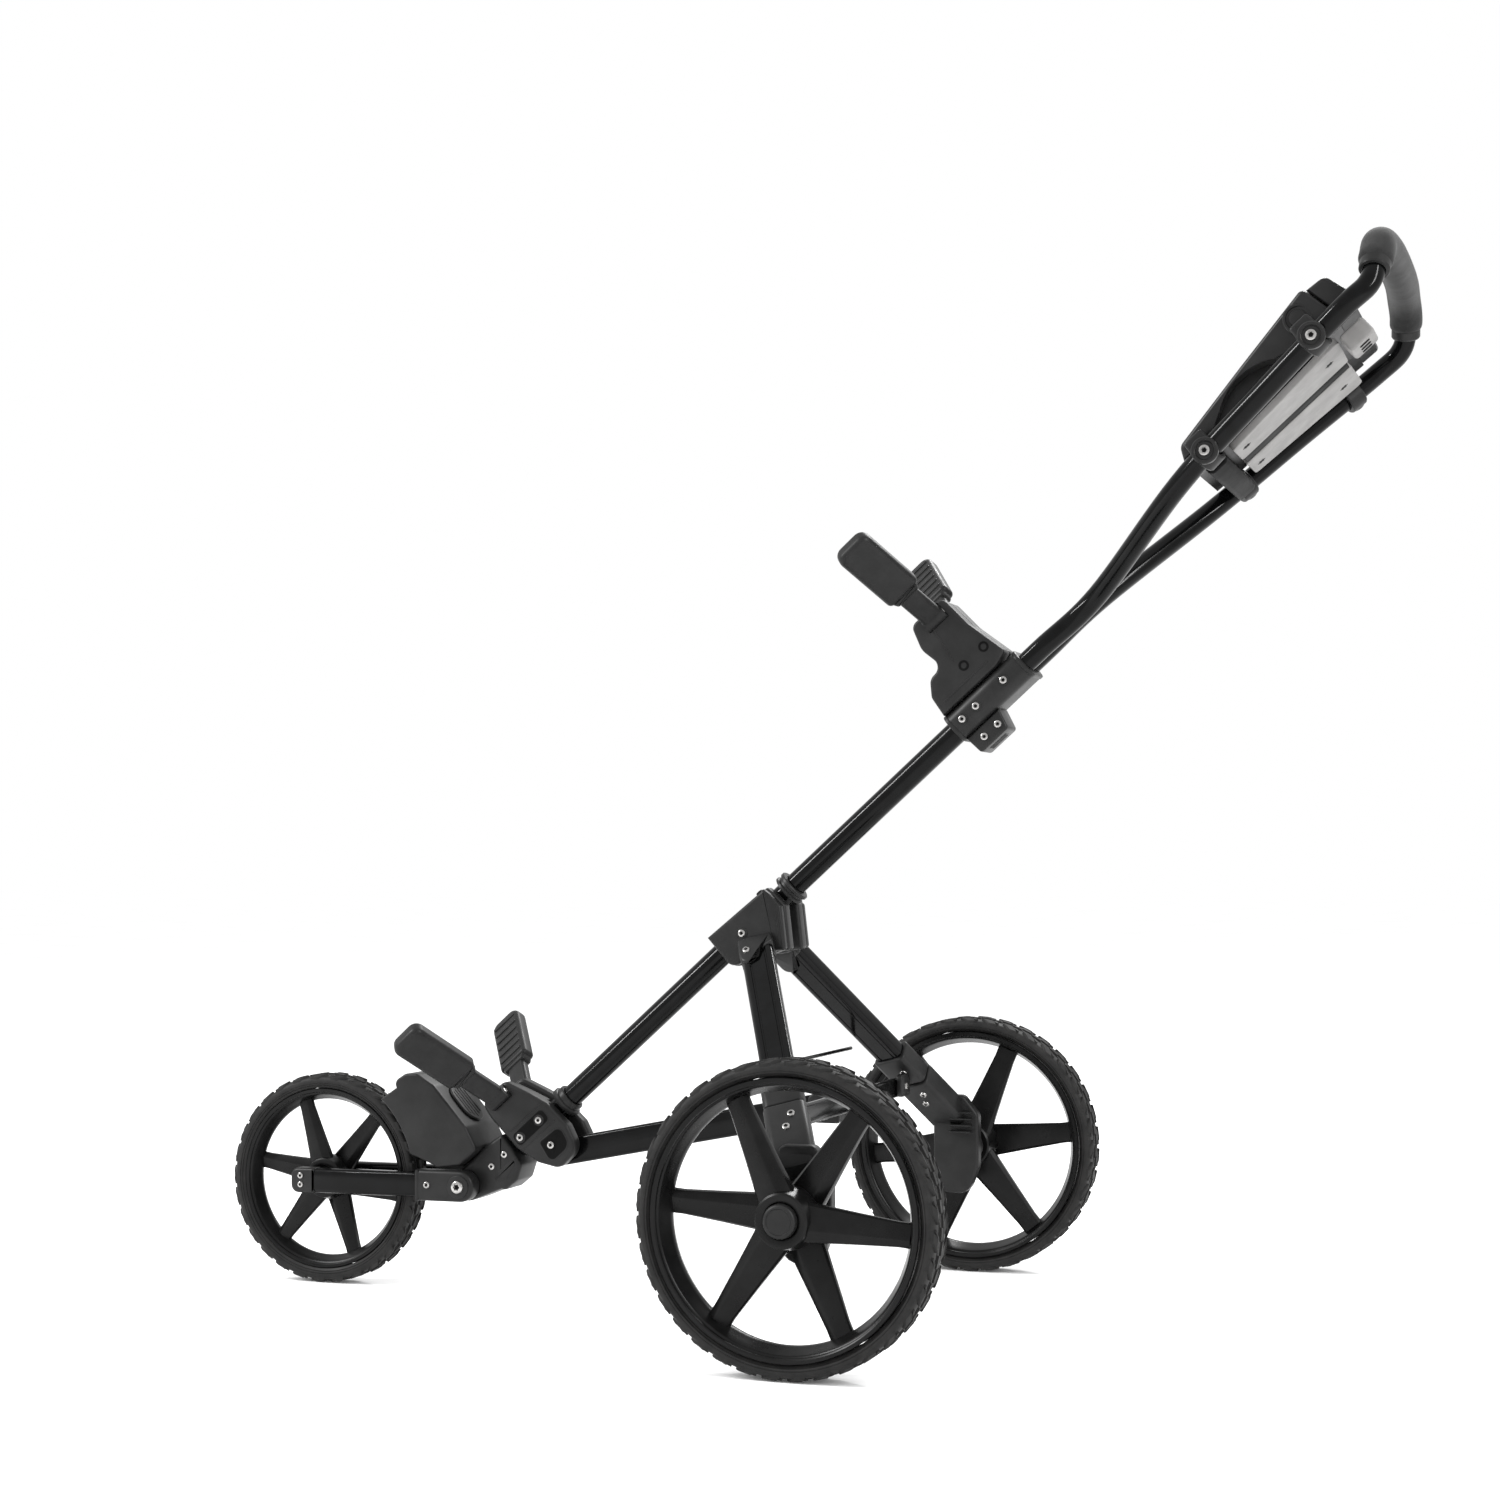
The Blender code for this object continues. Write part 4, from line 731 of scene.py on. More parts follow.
def make_bag_rest():
    base = Piece("bag_rest", PLASTIC)
    wheel = side_plane(0.0).inverted() @ Vector((FRONT_AXLE_X, 0, FRONT_RADIUS))
    outline = arc((wheel.x, wheel.y), FRONT_RADIUS + 0.0085, 6, -26, 24)
    outline += rounded([(-0.454, 0.04, 0.006), (-0.428, 0.0228, 0.003), (-0.4, 0.0228, 0.006),
                        (REST_FACE, REST_LOW, 0.02), (REST_FACE, REST_HIGH, 0.02), (-0.401, 0.134, 0.012),
                        (-0.412, 0.1435, 0.01), (-0.43, 0.1465, 0.008)], 5)
    base.add(slab(outline, 0.08, 0.0028, 5), side_plane(0.0))
    base.done("chassis", "bag_base")

    pad = Piece("bag_rest_pad", PAD)
    plane = place(frame_point(REST_FACE, (REST_LOW + REST_HIGH) / 2) + ALONG * 0.0016, ABOVE, (0, 1, 0))
    pad.add(slab(stadium(0.052, 0.04, 18), 0.0034, 0.0014, 4), plane)
    out = 1 if plane.col[2].xyz.dot(ALONG) > 0 else -1
    for row in range(-2, 3):
        groove = stadium(0.044 - 0.006 * abs(row), 0.0022, 5)
        pad.add(slab(groove, 0.001, 0.0004, 2), plane @ Matrix.Translation((0, row * 0.0062, out * 0.0019)))
    pad.done("chassis", "bag_base_pad")


def make_lower_frame():
    make_tube("lower_main_tube", "chassis", "lower_tube", frame_point(-0.43), frame_point(0.003))
    make_neck()
    make_bag_rest()


# ---------------- lower bracket
# where an arm's barrel sits and where the arm ends: (along, above, distance from the middle)
LOWER_ARM_ROOT = (-0.344, 0.05, 0.033)
LOWER_ARM_TIP = (-0.344, 0.15, 0.133)
UPPER_ARM_ROOT = (0.38, 0.1, 0.025)
UPPER_ARM_TIP = (0.38, 0.193, 0.13)
ARM_SWING = math.radians(25)


def arm_point(spec, side):
    return frame_point(spec[0], spec[1], side * spec[2])


def arm_pocket(root, tip, side):
    """The fan-shaped room in which an arm swings on its barrel, with its matrix."""
    centre, end = arm_point(root, side), arm_point(tip, side)
    radius, half_thick, reach = 0.0091, 0.0066, 0.06
    start = math.degrees(ARM_SWING + math.asin(half_thick / radius))
    mouth = reach * math.tan(ARM_SWING) + half_thick / math.cos(ARM_SWING)
    outline = arc((0, 0), radius, start, 360 - start, 24)
    outline += [Vector((reach, -mouth)), Vector((reach, mouth))]
    outward = (end - centre).normalized()
    return slab(outline, 0.0272), place(centre, outward, outward.cross(ALONG))


LOWER_CHEEK = ((-0.3655, -0.006, 0.008), (-0.356, -0.034, 0.012), (-0.34, -0.056, 0.014),
               (-0.308, -0.0545, 0.018), (-0.3005, -0.026, 0.012), (-0.304, 0.008, 0.01),
               (-0.313, 0.03, 0.04), (-0.327, 0.06, 0.01), (-0.3655, 0.0615, 0.012), (-0.368, 0.04, 0.014))
LOWER_CROWN = ((-0.3657, 0.0137, 0.002), (-0.3088, 0.0137, 0.002), (-0.3187, 0.0352, 0.01),
               (-0.3306, 0.0592, 0.01), (-0.3649, 0.0607, 0.012), (-0.3673, 0.03, 0.008))
STRUT_BOSS = ((-0.344, -0.046, 0.008), (-0.312, -0.046, 0.012), (-0.307, -0.02, 0.008),
              (-0.34, -0.018, 0.004))


def clamp_half(piece, cheek, edge, crown, side):
    """Half of a clamp: a cheek beside the tube, and a crown over the tube from the middle to the cheek."""
    piece.add(slab(cheek, CHEEK_OUT - CHEEK_IN, edge, 4), side_plane(side * (CHEEK_IN + CHEEK_OUT) / 2))
    piece.add(slab(crown, CHEEK_IN + 0.0057), side_plane(side * (CHEEK_IN + 0.0063) / 2))


def make_lower_shell(side_name, side):
    shell = Piece("clamp_shell_lower_" + side_name, PLASTIC)
    clamp_half(shell, rounded(LOWER_CHEEK, 8), 0.004, rounded(LOWER_CROWN), side)
    cutter = arm_pocket(LOWER_ARM_ROOT, LOWER_ARM_TIP, side)
    shell.done("chassis", "lower_bracket_" + side_name, (cutter,))


def make_lower_trim(side_name, side):
    trim = Piece("clamp_trim_lower_" + side_name, PLASTIC)
    face = side * CHEEK_OUT
    outward = (0, side, 0)
    panel = side_plane(face) @ Matrix.Translation((-0.3365, 0.0, 0))
    recess(trim, rectangle(0.05, 0.0175, 0.006), panel)
    for along in (-0.3235, -0.3535):
        seated_screw(trim, along, 0.0, face, side, 0.0062, 0.0004)
    recess(trim, rounded(STRUT_BOSS, 6), side_plane(face), 0.0014, 0.001)
    screw(trim, frame_point(-0.3297, -0.0302, face + side * 0.001), outward, 0.0044)
    for above in (0.012, -0.013):
        ridge = [Vector((-0.36, above)), Vector((-0.308, above)), Vector((-0.308, above + 0.0011)),
                 Vector((-0.36, above + 0.0011))]
        trim.add(slab(ridge, 0.001, 0.0003, 1), side_plane(face))
    trim.done("chassis")


def make_lower_bracket():
    for side_name, side in SIDES:
        make_lower_shell(side_name, side)
        make_lower_trim(side_name, side)

    collar = Piece("lower_tube_collar", PLASTIC)
    profile = [(0.0129, 0.0), (0.018, 0.0), (0.0186, 0.001), (0.0186, 0.005), (0.0172, 0.006),
               (0.016, 0.0062), (0.016, 0.0115), (0.0152, 0.0128), (0.0129, 0.0128)]
    start = frame_point(-0.299)
    collar.add(lathe(profile, 56), facing(start, frame_point(-0.286) - start))
    collar.done("chassis")

    pin = Piece("strut_pin_steel", STEEL)
    cross_pin(pin, STRUT_PIN, CHEEK_OUT - 0.0015)
    pin.done("chassis", "strut_front_pin")


# ---------------- bag arms
ARM_THICK = 0.012
ARM_NECK = 0.0125
PAD_WIDE = 0.042
PAD_THICK = 0.019
PAD_LENGTH = 0.094
BARREL_RADIUS = 0.0085
BARREL_HALF = 0.013
PAD_RIBS = 6
RIB_PITCH = 0.0128


def make_arm(name, root, tip, side):
    """A swinging arm: a barrel, a neck and a thick pad whose inner face is ribbed across."""
    start, end = arm_point(root, side), arm_point(tip, side)
    reach = (end - start).length
    flare = reach - PAD_LENGTH
    half = PAD_WIDE / 2
    plane = place(start, end - start, ALONG)
    piece = Piece(name + "_pad", PAD)
    neck = rounded(box_outline(0.0, reach - 0.03, ARM_NECK, (0.0, 0.004)))
    piece.add(slab(neck, ARM_THICK, 0.0042, 5), plane)
    cuff = rounded([(flare - 0.001, -ARM_NECK - 0.002, 0.003), (flare + 0.01, -half + 0.002, 0.003),
                    (flare + 0.01, half - 0.002, 0.003), (flare - 0.001, ARM_NECK + 0.002, 0.003)])
    piece.add(slab(cuff, PAD_THICK - 0.003, 0.004, 4), plane)
    pad = rounded(box_outline(flare + 0.005, reach, half, (0.006, 0.011)), 8)
    piece.add(slab(pad, PAD_THICK, 0.0062, 7), plane)
    edge = ALONG * BARREL_HALF
    piece.add(tube([start - edge, start + edge], BARREL_RADIUS, 40))
    inner = 1 if plane.col[2].xyz.dot(Vector((0, -side, 0.4))) > 0 else -1
    turn = Matrix.Rotation(math.radians(90), 4, "Z")
    rib = slab(stadium(PAD_WIDE - 0.008, 0.0052, 8), 0.0022, 0.001, 3)
    for row in range(PAD_RIBS):
        along = flare + 0.018 + row * RIB_PITCH
        where = Matrix.Translation((along, 0, inner * (PAD_THICK / 2 + 0.0001)))
        piece.add(rib, plane @ where @ turn)
    screw(piece, start + edge, ALONG, 0.0036, 0.0008)
    piece.done(name, name)


def make_arms():
    for side_name, side in SIDES:
        make_arm("lower_arm_" + side_name, LOWER_ARM_ROOT, LOWER_ARM_TIP, side)
        make_arm("upper_arm_" + side_name, UPPER_ARM_ROOT, UPPER_ARM_TIP, side)


# ---------------- knee
KNEE_CROWN = ((-0.036, 0.0136), (0.003, 0.0136), (0.002, 0.0163), (-0.036, 0.0163))
# name, along, above, reach to either side
KNEE_PINS = (("fold_pin", 0.028, 0.0, 0.0295), ("leg_pivot_pin", 0.014, -0.0178, 0.0385))


def knee_outline(size=1.0):
    """The knee's side, drawn along and above the main tubes and scaled about its middle."""
    outline = [Vector((-0.036, 0.0165))]
    outline += arc((-0.024, -0.018), 0.0125, 185, 265, 10)
    outline += rounded([(-0.006, -0.0365, 0.006), (0.006, -0.044, 0.01), (0.016, -0.048, 0.008),
                        (0.0245, -0.055, 0.004), (0.0532, -0.0145, 0.004), (0.052, 0.004, 0.006),
                        (0.0495, 0.0165, 0.003)], 4)
    middle = Vector((0.01, -0.016))
    return [middle + (point - middle) * size for point in outline]


def make_knee():
    for side_name, side in SIDES:
        shell = Piece("knee_cheek_" + side_name, PLASTIC)
        clamp_half(shell, knee_outline(), 0.0035, [Vector(corner) for corner in KNEE_CROWN], side)
        for along in (-0.03, -0.01, 0.038):
            boss = lathe(disc_profile(0.0042, 0.0011, 0.0006), 28, False)
            shell.add(boss, facing(frame_point(along, 0.0162, side * 0.0215), ABOVE))
        shell.done("chassis", "knee_shell_" + side_name)
    for name, along, above, reach in KNEE_PINS:
        pin = Piece(name + "_steel", STEEL)
        cross_pin(pin, frame_point(along, above), reach)
        pin.done("chassis", name)

    collar = Piece("knee_flange", PLASTIC)
    profile = [(0.0129, 0.0), (0.0176, 0.0), (0.0188, 0.0008), (0.0188, 0.0032), (0.0174, 0.0042),
               (0.0166, 0.0044), (0.0166, 0.007), (0.0178, 0.0074), (0.0186, 0.0082), (0.0186, 0.0108),
               (0.0176, 0.0118), (0.0129, 0.012)]
    collar.add(lathe(profile, 56), facing(frame_point(0.057), ALONG))
    collar.done("upper_frame", "knee_collar")


# ---------------- rear legs
LEG_TOP = Vector((REAR_AXLE_X - 0.144, 0.033, 0.404))
LEG_FOOT = Vector((REAR_AXLE_X - 0.017, 0.27, 0.195))
LEG_WIDE = 0.035
LEG_THICK = 0.02
LEG_SPAN = (0.07, 0.985)
KNUCKLE_IN = 0.0306
KNUCKLE_OUT = 0.042
TIE_X = REAR_AXLE_X - 0.0515
TIE_Z = 0.226
REAR_AXLE = Vector((REAR_AXLE_X, 0, REAR_RADIUS))
HUB_PLATE_IN = 0.266
HUB_PLATE_OUT = 0.283


def leg_point(share, side):
    point = LEG_TOP + (LEG_FOOT - LEG_TOP) * share
    return Vector((point.x, side * point.y, point.z))


def leg_axes(side):
    """The direction down the leg, and the one across its wide face."""
    down = (leg_point(1, side) - leg_point(0, side)).normalized()
    return down, (Vector((1, 0, 0)) - down * down.x).normalized()


def leg_solid(piece, outline, span, side, edge=0.0):
    """Adds an outline drawn along the leg from one share of its length to another."""
    down, wide = leg_axes(side)
    section = place(leg_point(sum(span) / 2, side), wide, down.cross(wide))
    length = (leg_point(span[1], 1) - leg_point(span[0], 1)).length
    piece.add(slab(outline, length, edge), section)
    return section


def leg_screws(piece, section, thick, seats):
    """Screws into both wide faces of a block round the leg."""
    for sign in (-1, 1):
        for across, offset in seats:
            point = section @ Vector((across, sign * thick / 2, offset))
            screw(piece, point, section.to_3x3() @ Vector((0, sign, 0)))


def grooved_section():
    """The leg extrusion's outline, with two shallow grooves along each wide face."""
    half_wide, half_thick, radius = LEG_WIDE / 2, LEG_THICK / 2, 0.006
    outline = []
    for x, y, start in ((-1, -1, 180), (1, -1, 270), (1, 1, 0), (-1, 1, 90)):
        outline += arc((x * (half_wide - radius), y * (half_thick - radius)), radius, start, start + 90, 6)
        if start in (270, 90):
            continue
        direction = 1 if start == 180 else -1
        for middle in (-0.0085, 0.0085):
            for run, sink in ((-0.0013, 0.0), (-0.0008, 0.0009), (0.0008, 0.0009), (0.0013, 0.0)):
                outline.append(Vector(((middle + run) * direction, y * (half_thick - sink))))
    return outline


def make_leg(side_name, side):
    leg = Piece("leg_extrusion_" + side_name, PAINT)
    leg_solid(leg, grooved_section(), LEG_SPAN, side)
    leg.done("rear_frame", "rear_leg_" + side_name)


def make_knuckle(side_name, side):
    outward = Vector((0, side, 0))
    knuckle = Piece("leg_head_" + side_name, PLASTIC)
    knuckle.add(slab(knee_outline(0.97), KNUCKLE_OUT - KNUCKLE_IN, 0.0035, 4),
                side_plane(side * (KNUCKLE_IN + KNUCKLE_OUT) / 2))
    down, wide = leg_axes(side)
    plane = place(leg_point(0, side), wide, down)
    hood = rounded([(-0.019, 0.013, 0.003), (0.019, 0.013, 0.003), (0.019, 0.026, 0.004),
                    (0.007, 0.032, 0.012), (-0.003, 0.05, 0.01), (-0.019, 0.058, 0.01)], 6)
    thick = LEG_THICK + 0.005
    knuckle.add(slab(hood, thick, 0.003, 4), plane)
    out = 1 if plane.col[2].xyz.dot(outward) > 0 else -1
    screw(knuckle, plane @ Vector((-0.0105, 0.033, out * thick / 2)), plane.col[2].xyz * out)
    face = side * KNUCKLE_OUT
    seated_screw(knuckle, -0.0007, -0.0074, face, side, 0.006, 0.0003)
    for inward in (0.0035, 0.006):
        a, b = Vector((0.03 - inward, -0.05 + inward)), Vector((0.049 - inward, -0.0215 + inward))
        across = Vector((-(b - a).y, (b - a).x)).normalized() * 0.0005
        ridge = [a - across, b - across, b + across, a + across]
        knuckle.add(slab(ridge, 0.001, 0.0002, 1), side_plane(face))
    knuckle.done("rear_frame", "leg_knuckle_" + side_name)


def make_tie_bracket(side_name, side):
    bracket = Piece("tie_shoe_" + side_name, PLASTIC)
    thick = LEG_THICK + 0.007
    section = leg_solid(bracket, rectangle(LEG_WIDE + 0.007, thick, 0.006), (0.665, 0.8), side, 0.0022)
    block = slab(rectangle(0.034, 0.026, 0.006), 0.007, 0.0018)
    bracket.add(block, cross_plane(TIE_X + 0.0073, side * 0.191, TIE_Z + 0.003))
    screw(bracket, (TIE_X + 0.0108, side * 0.191, TIE_Z + 0.002), (1, 0, 0))
    leg_screws(bracket, section, thick, [(0.006, 0.0)])
    bracket.done("rear_frame", "tie_bracket_" + side_name)


def make_hub_bracket(side_name, side):
    hub = Piece("axle_shoe_" + side_name, PLASTIC)
    thick = LEG_THICK + 0.01
    section = leg_solid(hub, rectangle(LEG_WIDE + 0.009, thick, 0.007), (0.8035, 1.06), side, 0.0025)
    outline = rounded([(-0.026, -0.052, 0.018), (0.012, -0.052, 0.018), (0.024, -0.02, 0.014),
                       (0.024, 0.04, 0.01), (0.006, 0.062, 0.008), (-0.03, 0.062, 0.008),
                       (-0.03, -0.01, 0.01)])
    plate_y = side * (HUB_PLATE_IN + HUB_PLATE_OUT) / 2
    hub.add(slab(outline, HUB_PLATE_OUT - HUB_PLATE_IN, 0.0035, 4),
            upright_plane(REAR_AXLE.x, plate_y, REAR_AXLE.z))
    rib, rib_y = slab(rectangle(0.026, 0.0018, 0.0006), 0.009, 0.0005, 2), side * (HUB_PLATE_IN - 0.0036)
    for step in range(4):
        hub.add(rib, upright_plane(REAR_AXLE.x + 0.004, rib_y, 0.17 + step * 0.0075))
    leg_screws(hub, section, thick, [(0.006, -0.026), (-0.001, -0.01)])
    hub.done("rear_frame", "hub_bracket_" + side_name)


def make_axle_shaft(side_name, side):
    shaft = Piece("axle_shaft_" + side_name, STEEL)
    ends = (side * (HUB_PLATE_IN + 0.002), side * (HALF_TRACK + REAR.hub_half - 0.0005))
    shaft.add(tube([Vector((REAR_AXLE.x, y, REAR_AXLE.z)) for y in ends], 0.0059, 36))
    collar = [(0.0062, 0.0003), (0.0215, 0.0003), (0.0215, 0.015), (0.0205, 0.0162), (0.017, 0.0165),
              (0.0165, 0.0205), (0.015, 0.0228), (0.0062, 0.023)]
    shaft.add(lathe(collar, 56), wheel_axis(REAR_AXLE.x, side * HUB_PLATE_OUT, REAR_AXLE.z, side), PLASTIC)
    shaft.done("rear_frame", "rear_axle_" + side_name)


# ---------------- between the legs
EAR_THICK = 0.0069
EAR_INNER = 0.0106
STRUT_RADIUS = 0.0149
HOOK_TURN = math.radians(52)


def make_cross_rod():
    """The thin rod between the legs, steel under its paint."""
    rod = Piece("leg_cross_rod", STEEL)
    x, z = REAR_AXLE_X - 0.096, 0.272
    rod.add(tube([Vector((x, -0.156, z)), Vector((x, 0.156, z))], 0.0022, 20), surface=PAINT)
    rod.done("rear_frame", "cross_rod")


def make_tie():
    """A painted bar between the legs, with the plastic ears that carry the strut's rear pin."""
    tie = Piece("rear_tie_bar", PLASTIC)
    tie.add(slab(stadium(0.395, 0.022, 12), 0.007, 0.0022, 4), cross_plane(TIE_X, 0, TIE_Z), PAINT)
    ear = slab(rounded(box_outline(-0.018, 0.018, 0.016, (0.01, 0.003))), EAR_THICK, 0.002, 3)
    for side in (-1, 1):
        tie.add(ear, upright_plane(TIE_X - 0.0205, side * (EAR_INNER + EAR_THICK / 2), STRUT_REAR.z))
        seat = STRUT_REAR + Vector((0, side * (EAR_INNER + EAR_THICK), 0))
        screw(tie, seat, (0, side, 0), 0.0052, 0.0022)
    plate = slab(rectangle(0.034, 0.03, 0.004), 0.004, 0.001, 2)
    tie.add(plate, cross_plane(TIE_X - 0.006, 0, STRUT_REAR.z))
    cross_pin(tie, STRUT_REAR, 0.017)
    tie.done("rear_frame", "rear_tie")


def make_strut():
    """The diagonal strut, with the open hook that drops over the front pin."""
    run = STRUT_REAR - STRUT_PIN
    plane = place(STRUT_PIN, run, (0, 0, 1))
    outline = arc((0, 0), STRUT_RADIUS, 90, 270, 20) + arc((run.length, 0), STRUT_RADIUS, -90, 90, 20)
    strut = Piece("strut_bar", PAINT)
    strut.add(slab(outline, 0.02, 0.005, 5), plane)
    mouth = rounded([(-0.0046, -0.0046, 0.0046), (0.03, -0.0052, 0.0), (0.03, 0.0052, 0.0),
                     (-0.0046, 0.0046, 0.0046)])
    hook = (slab(mouth, 0.06), plane @ Matrix.Rotation(HOOK_TURN, 4, "Z"))
    strut.done("strut", "strut", (hook,))


def make_rear_frame():
    for side_name, side in SIDES:
        make_leg(side_name, side)
        make_knuckle(side_name, side)
        make_tie_bracket(side_name, side)
        make_hub_bracket(side_name, side)
        make_axle_shaft(side_name, side)
    make_cross_rod()
    make_tie()
    make_strut()


# ---------------- upper bracket
HANDLE_SIDE = 0.0119
SLEEVE_HALF = HANDLE_SIDE + HANDLE_RADIUS + 0.0045
UPPER_HALF = CHEEK_OUT - 0.003
UPPER_CHEEK = ((0.318, 0.0169, 0.0), (0.395, 0.0169, 0.0), (0.413, 0.022, 0.004), (0.403, 0.07, 0.04),
               (0.401, 0.112, 0.009), (0.356, 0.112, 0.009), (0.347, 0.085, 0.02), (0.352, 0.057, 0.01),
               (0.333, 0.056, 0.012), (0.321, 0.04, 0.01))
UPPER_RIDGE = ((0.328, 0.0262), (0.392, 0.0262), (0.392, 0.0276), (0.328, 0.0276))
UPPER_SPINE = ((0.364, 0.052), (0.3655, 0.052), (0.3725, 0.092), (0.371, 0.092))


def section_plane(along):
    """Local X across the trolley, local Y above the tubes, local Z along them."""
    return place(frame_point(along), (0, 1, 0), ABOVE)


def make_upper_sleeve():
    sleeve = Piece("upper_clamp_sleeve", PLASTIC)
    sleeve.add(slab(rectangle(2 * SLEEVE_HALF, 0.033, 0.0125, 8), 0.104, 0.002, 3), section_plane(0.367))
    for along in (0.331, 0.351, 0.391):
        for side in (-1, 1):
            seated_screw(sleeve, along, 0.0, side * SLEEVE_HALF, side, 0.0058, 0.0003)
    band = slab(rectangle(2 * SLEEVE_HALF + 0.0016, 0.0346, 0.013, 8), 0.0044, 0.0008, 2)
    for along in (0.3175, 0.4165):
        sleeve.add(band, section_plane(along))
    sleeve.done("upper_frame", "upper_sleeve")


def make_upper_shell(side_name, side):
    shell = Piece("clamp_shell_upper_" + side_name, PLASTIC)
    cheek = slab(rounded(UPPER_CHEEK, 8), UPPER_HALF - 0.0003, 0.003, 4)
    shell.add(cheek, side_plane(side * (UPPER_HALF + 0.0003) / 2))
    cutter = arm_pocket(UPPER_ARM_ROOT, UPPER_ARM_TIP, side)
    shell.done("upper_frame", "upper_bracket_" + side_name, (cutter,))


def make_upper_trim(side_name, side):
    trim = Piece("clamp_trim_upper_" + side_name, PLASTIC)
    face = side * UPPER_HALF
    for along in (0.399, 0.37):
        # dark rings in painted shade, where the holes would be shaded
        washer(trim, frame_point(along, 0.041, face), (0, side, 0), 0.0056, PAINTED_SHADE, 0.0006)
    for corners in (UPPER_RIDGE, UPPER_SPINE):
        trim.add(slab([Vector(corner) for corner in corners], 0.0012, 0.0003, 1), side_plane(face))
    trim.done("upper_frame")


def make_accessory_mount():
    block = Piece("accessory_socket", PLASTIC)
    outline = rounded([(0.319, -0.0169, 0.0), (0.321, -0.039, 0.004), (0.36, -0.039, 0.004),
                       (0.366, -0.0169, 0.0)])
    block.add(slab(outline, 0.04, 0.003, 4), side_plane(0.0))
    for side in (-1, 1):
        for along in (0.3351, 0.3546):
            screw(block, frame_point(along, -0.0285, side * 0.02), (0, side, 0))
    recess(block, rectangle(0.024, 0.016, 0.003), place(frame_point(0.3405, -0.0391), ALONG, (0, 1, 0)))
    block.done("upper_frame", "accessory_mount")


def make_upper_bracket():
    make_tube("upper_main_tube", "upper_frame", "upper_tube", frame_point(0.018), frame_point(0.3655))
    make_upper_sleeve()
    for side_name, side in SIDES:
        make_upper_shell(side_name, side)
        make_upper_trim(side_name, side)
    make_accessory_mount()


# ---------------- handle
HANDLE_BEND = Vector((REAR_AXLE_X + 0.3307, 0.099, 0.861))
HANDLE_MIDDLE = Vector((REAR_AXLE_X + 0.4177, 0.136, 0.9395))
HANDLE_TOP = Vector((REAR_AXLE_X + 0.496, 0.165, 1.008))
LOOP = [Vector((REAR_AXLE_X + x, y, z)) for x, y, z in (
    (0.523, 0.163, 1.033), (0.529, 0.15, 1.06), (0.5295, 0.123, 1.0785), (0.532, 0.07, 1.083),
    (0.533, 0.0, 1.083))]
GRIP_START_Z = LOOP[0].z + 0.018


def handle_route():
    """The handle tube from the left clamp over the top to the right one."""
    half = [frame_point(along, 0.0, HANDLE_SIDE) for along in (0.367, 0.44, 0.522)]
    half += [HANDLE_BEND, HANDLE_MIDDLE, HANDLE_TOP] + LOOP
    near = [Vector((p.x, -p.y, p.z)) for p in half]
    return near + half[-2::-1]


def make_handle():
    route = smooth(handle_route(), 10)
    handle = Piece("handle_tube", PAINT)
    handle.add(tube(route, HANDLE_RADIUS, 32))
    handle.done("upper_frame", "handle_loop")

    first = next(i for i, p in enumerate(route) if p.z > GRIP_START_Z)
    covered = route[first:len(route) - first]
    radii = [GRIP_RADIUS] * len(covered)
    for index, share in enumerate((0.8, 0.95, 0.995)):
        radii[index] = radii[-1 - index] = GRIP_RADIUS * share
    grip = Piece("grip_sleeve", FOAM)
    grip.add(tube(covered, radii, 36))
    made = grip.done("upper_frame", "grip")

    collars = Piece("grip_collars", PLASTIC)
    profile = [(0.0112, -0.001), (0.015, -0.001), (0.015, 0.007), (0.014, 0.0085), (0.0112, 0.0088)]
    for point, inside in ((covered[0], covered[1]), (covered[-1], covered[-2])):
        collars.add(lathe(profile, 48), facing(point, point - inside))
    collars.done("upper_frame")


# ---------------- console
CONSOLE_START = Vector((REAR_AXLE_X + 0.3605, 0, 0.8875))
CONSOLE_RISE = (HANDLE_TOP - HANDLE_BEND).normalized()
CONSOLE_ANGLE = math.atan2(CONSOLE_RISE.z, CONSOLE_RISE.x)
CONSOLE_AHEAD = Vector((math.cos(CONSOLE_ANGLE), 0, math.sin(CONSOLE_ANGLE)))
CONSOLE_OUT = Vector((-CONSOLE_AHEAD.z, 0, CONSOLE_AHEAD.x))
CONSOLE_FLOOR = HANDLE_RADIUS + 0.0008
CONSOLE_HALF = 0.108
CONSOLE_SPREAD = 1.9
UPPER_CLAMP = 0.1464


def console_plane(along=0.0, above=0.0, y=0.0):
    """Local X up the console, local Y out of its face, local Z towards the left side."""
    origin = CONSOLE_START + CONSOLE_AHEAD * along + CONSOLE_OUT * above + Vector((0, y, 0))
    return place(origin, CONSOLE_AHEAD, CONSOLE_OUT)


def console_flat(along, above, y=0.0):
    """Local X up the console and local Y across it."""
    return place(console_plane(along, above, y).translation, CONSOLE_AHEAD, (0, 1, 0))


def widened(solid):
    """Spreads a console solid sideways as the tubes spread."""
    return [Vector((p.x, p.y, p.z * (1 + CONSOLE_SPREAD * p.x))) for p in solid[0]], solid[1]


def handle_half_width(along):
    x = console_plane(along).translation.x
    low, high = (HANDLE_BEND, HANDLE_MIDDLE) if x < HANDLE_MIDDLE.x else (HANDLE_MIDDLE, HANDLE_TOP)
    return low.y + (high.y - low.y) * (x - low.x) / (high.x - low.x)


def clamp_point(along, side, outward=0.0):
    return console_plane(along, 0.0, side * (handle_half_width(along) + outward)).translation


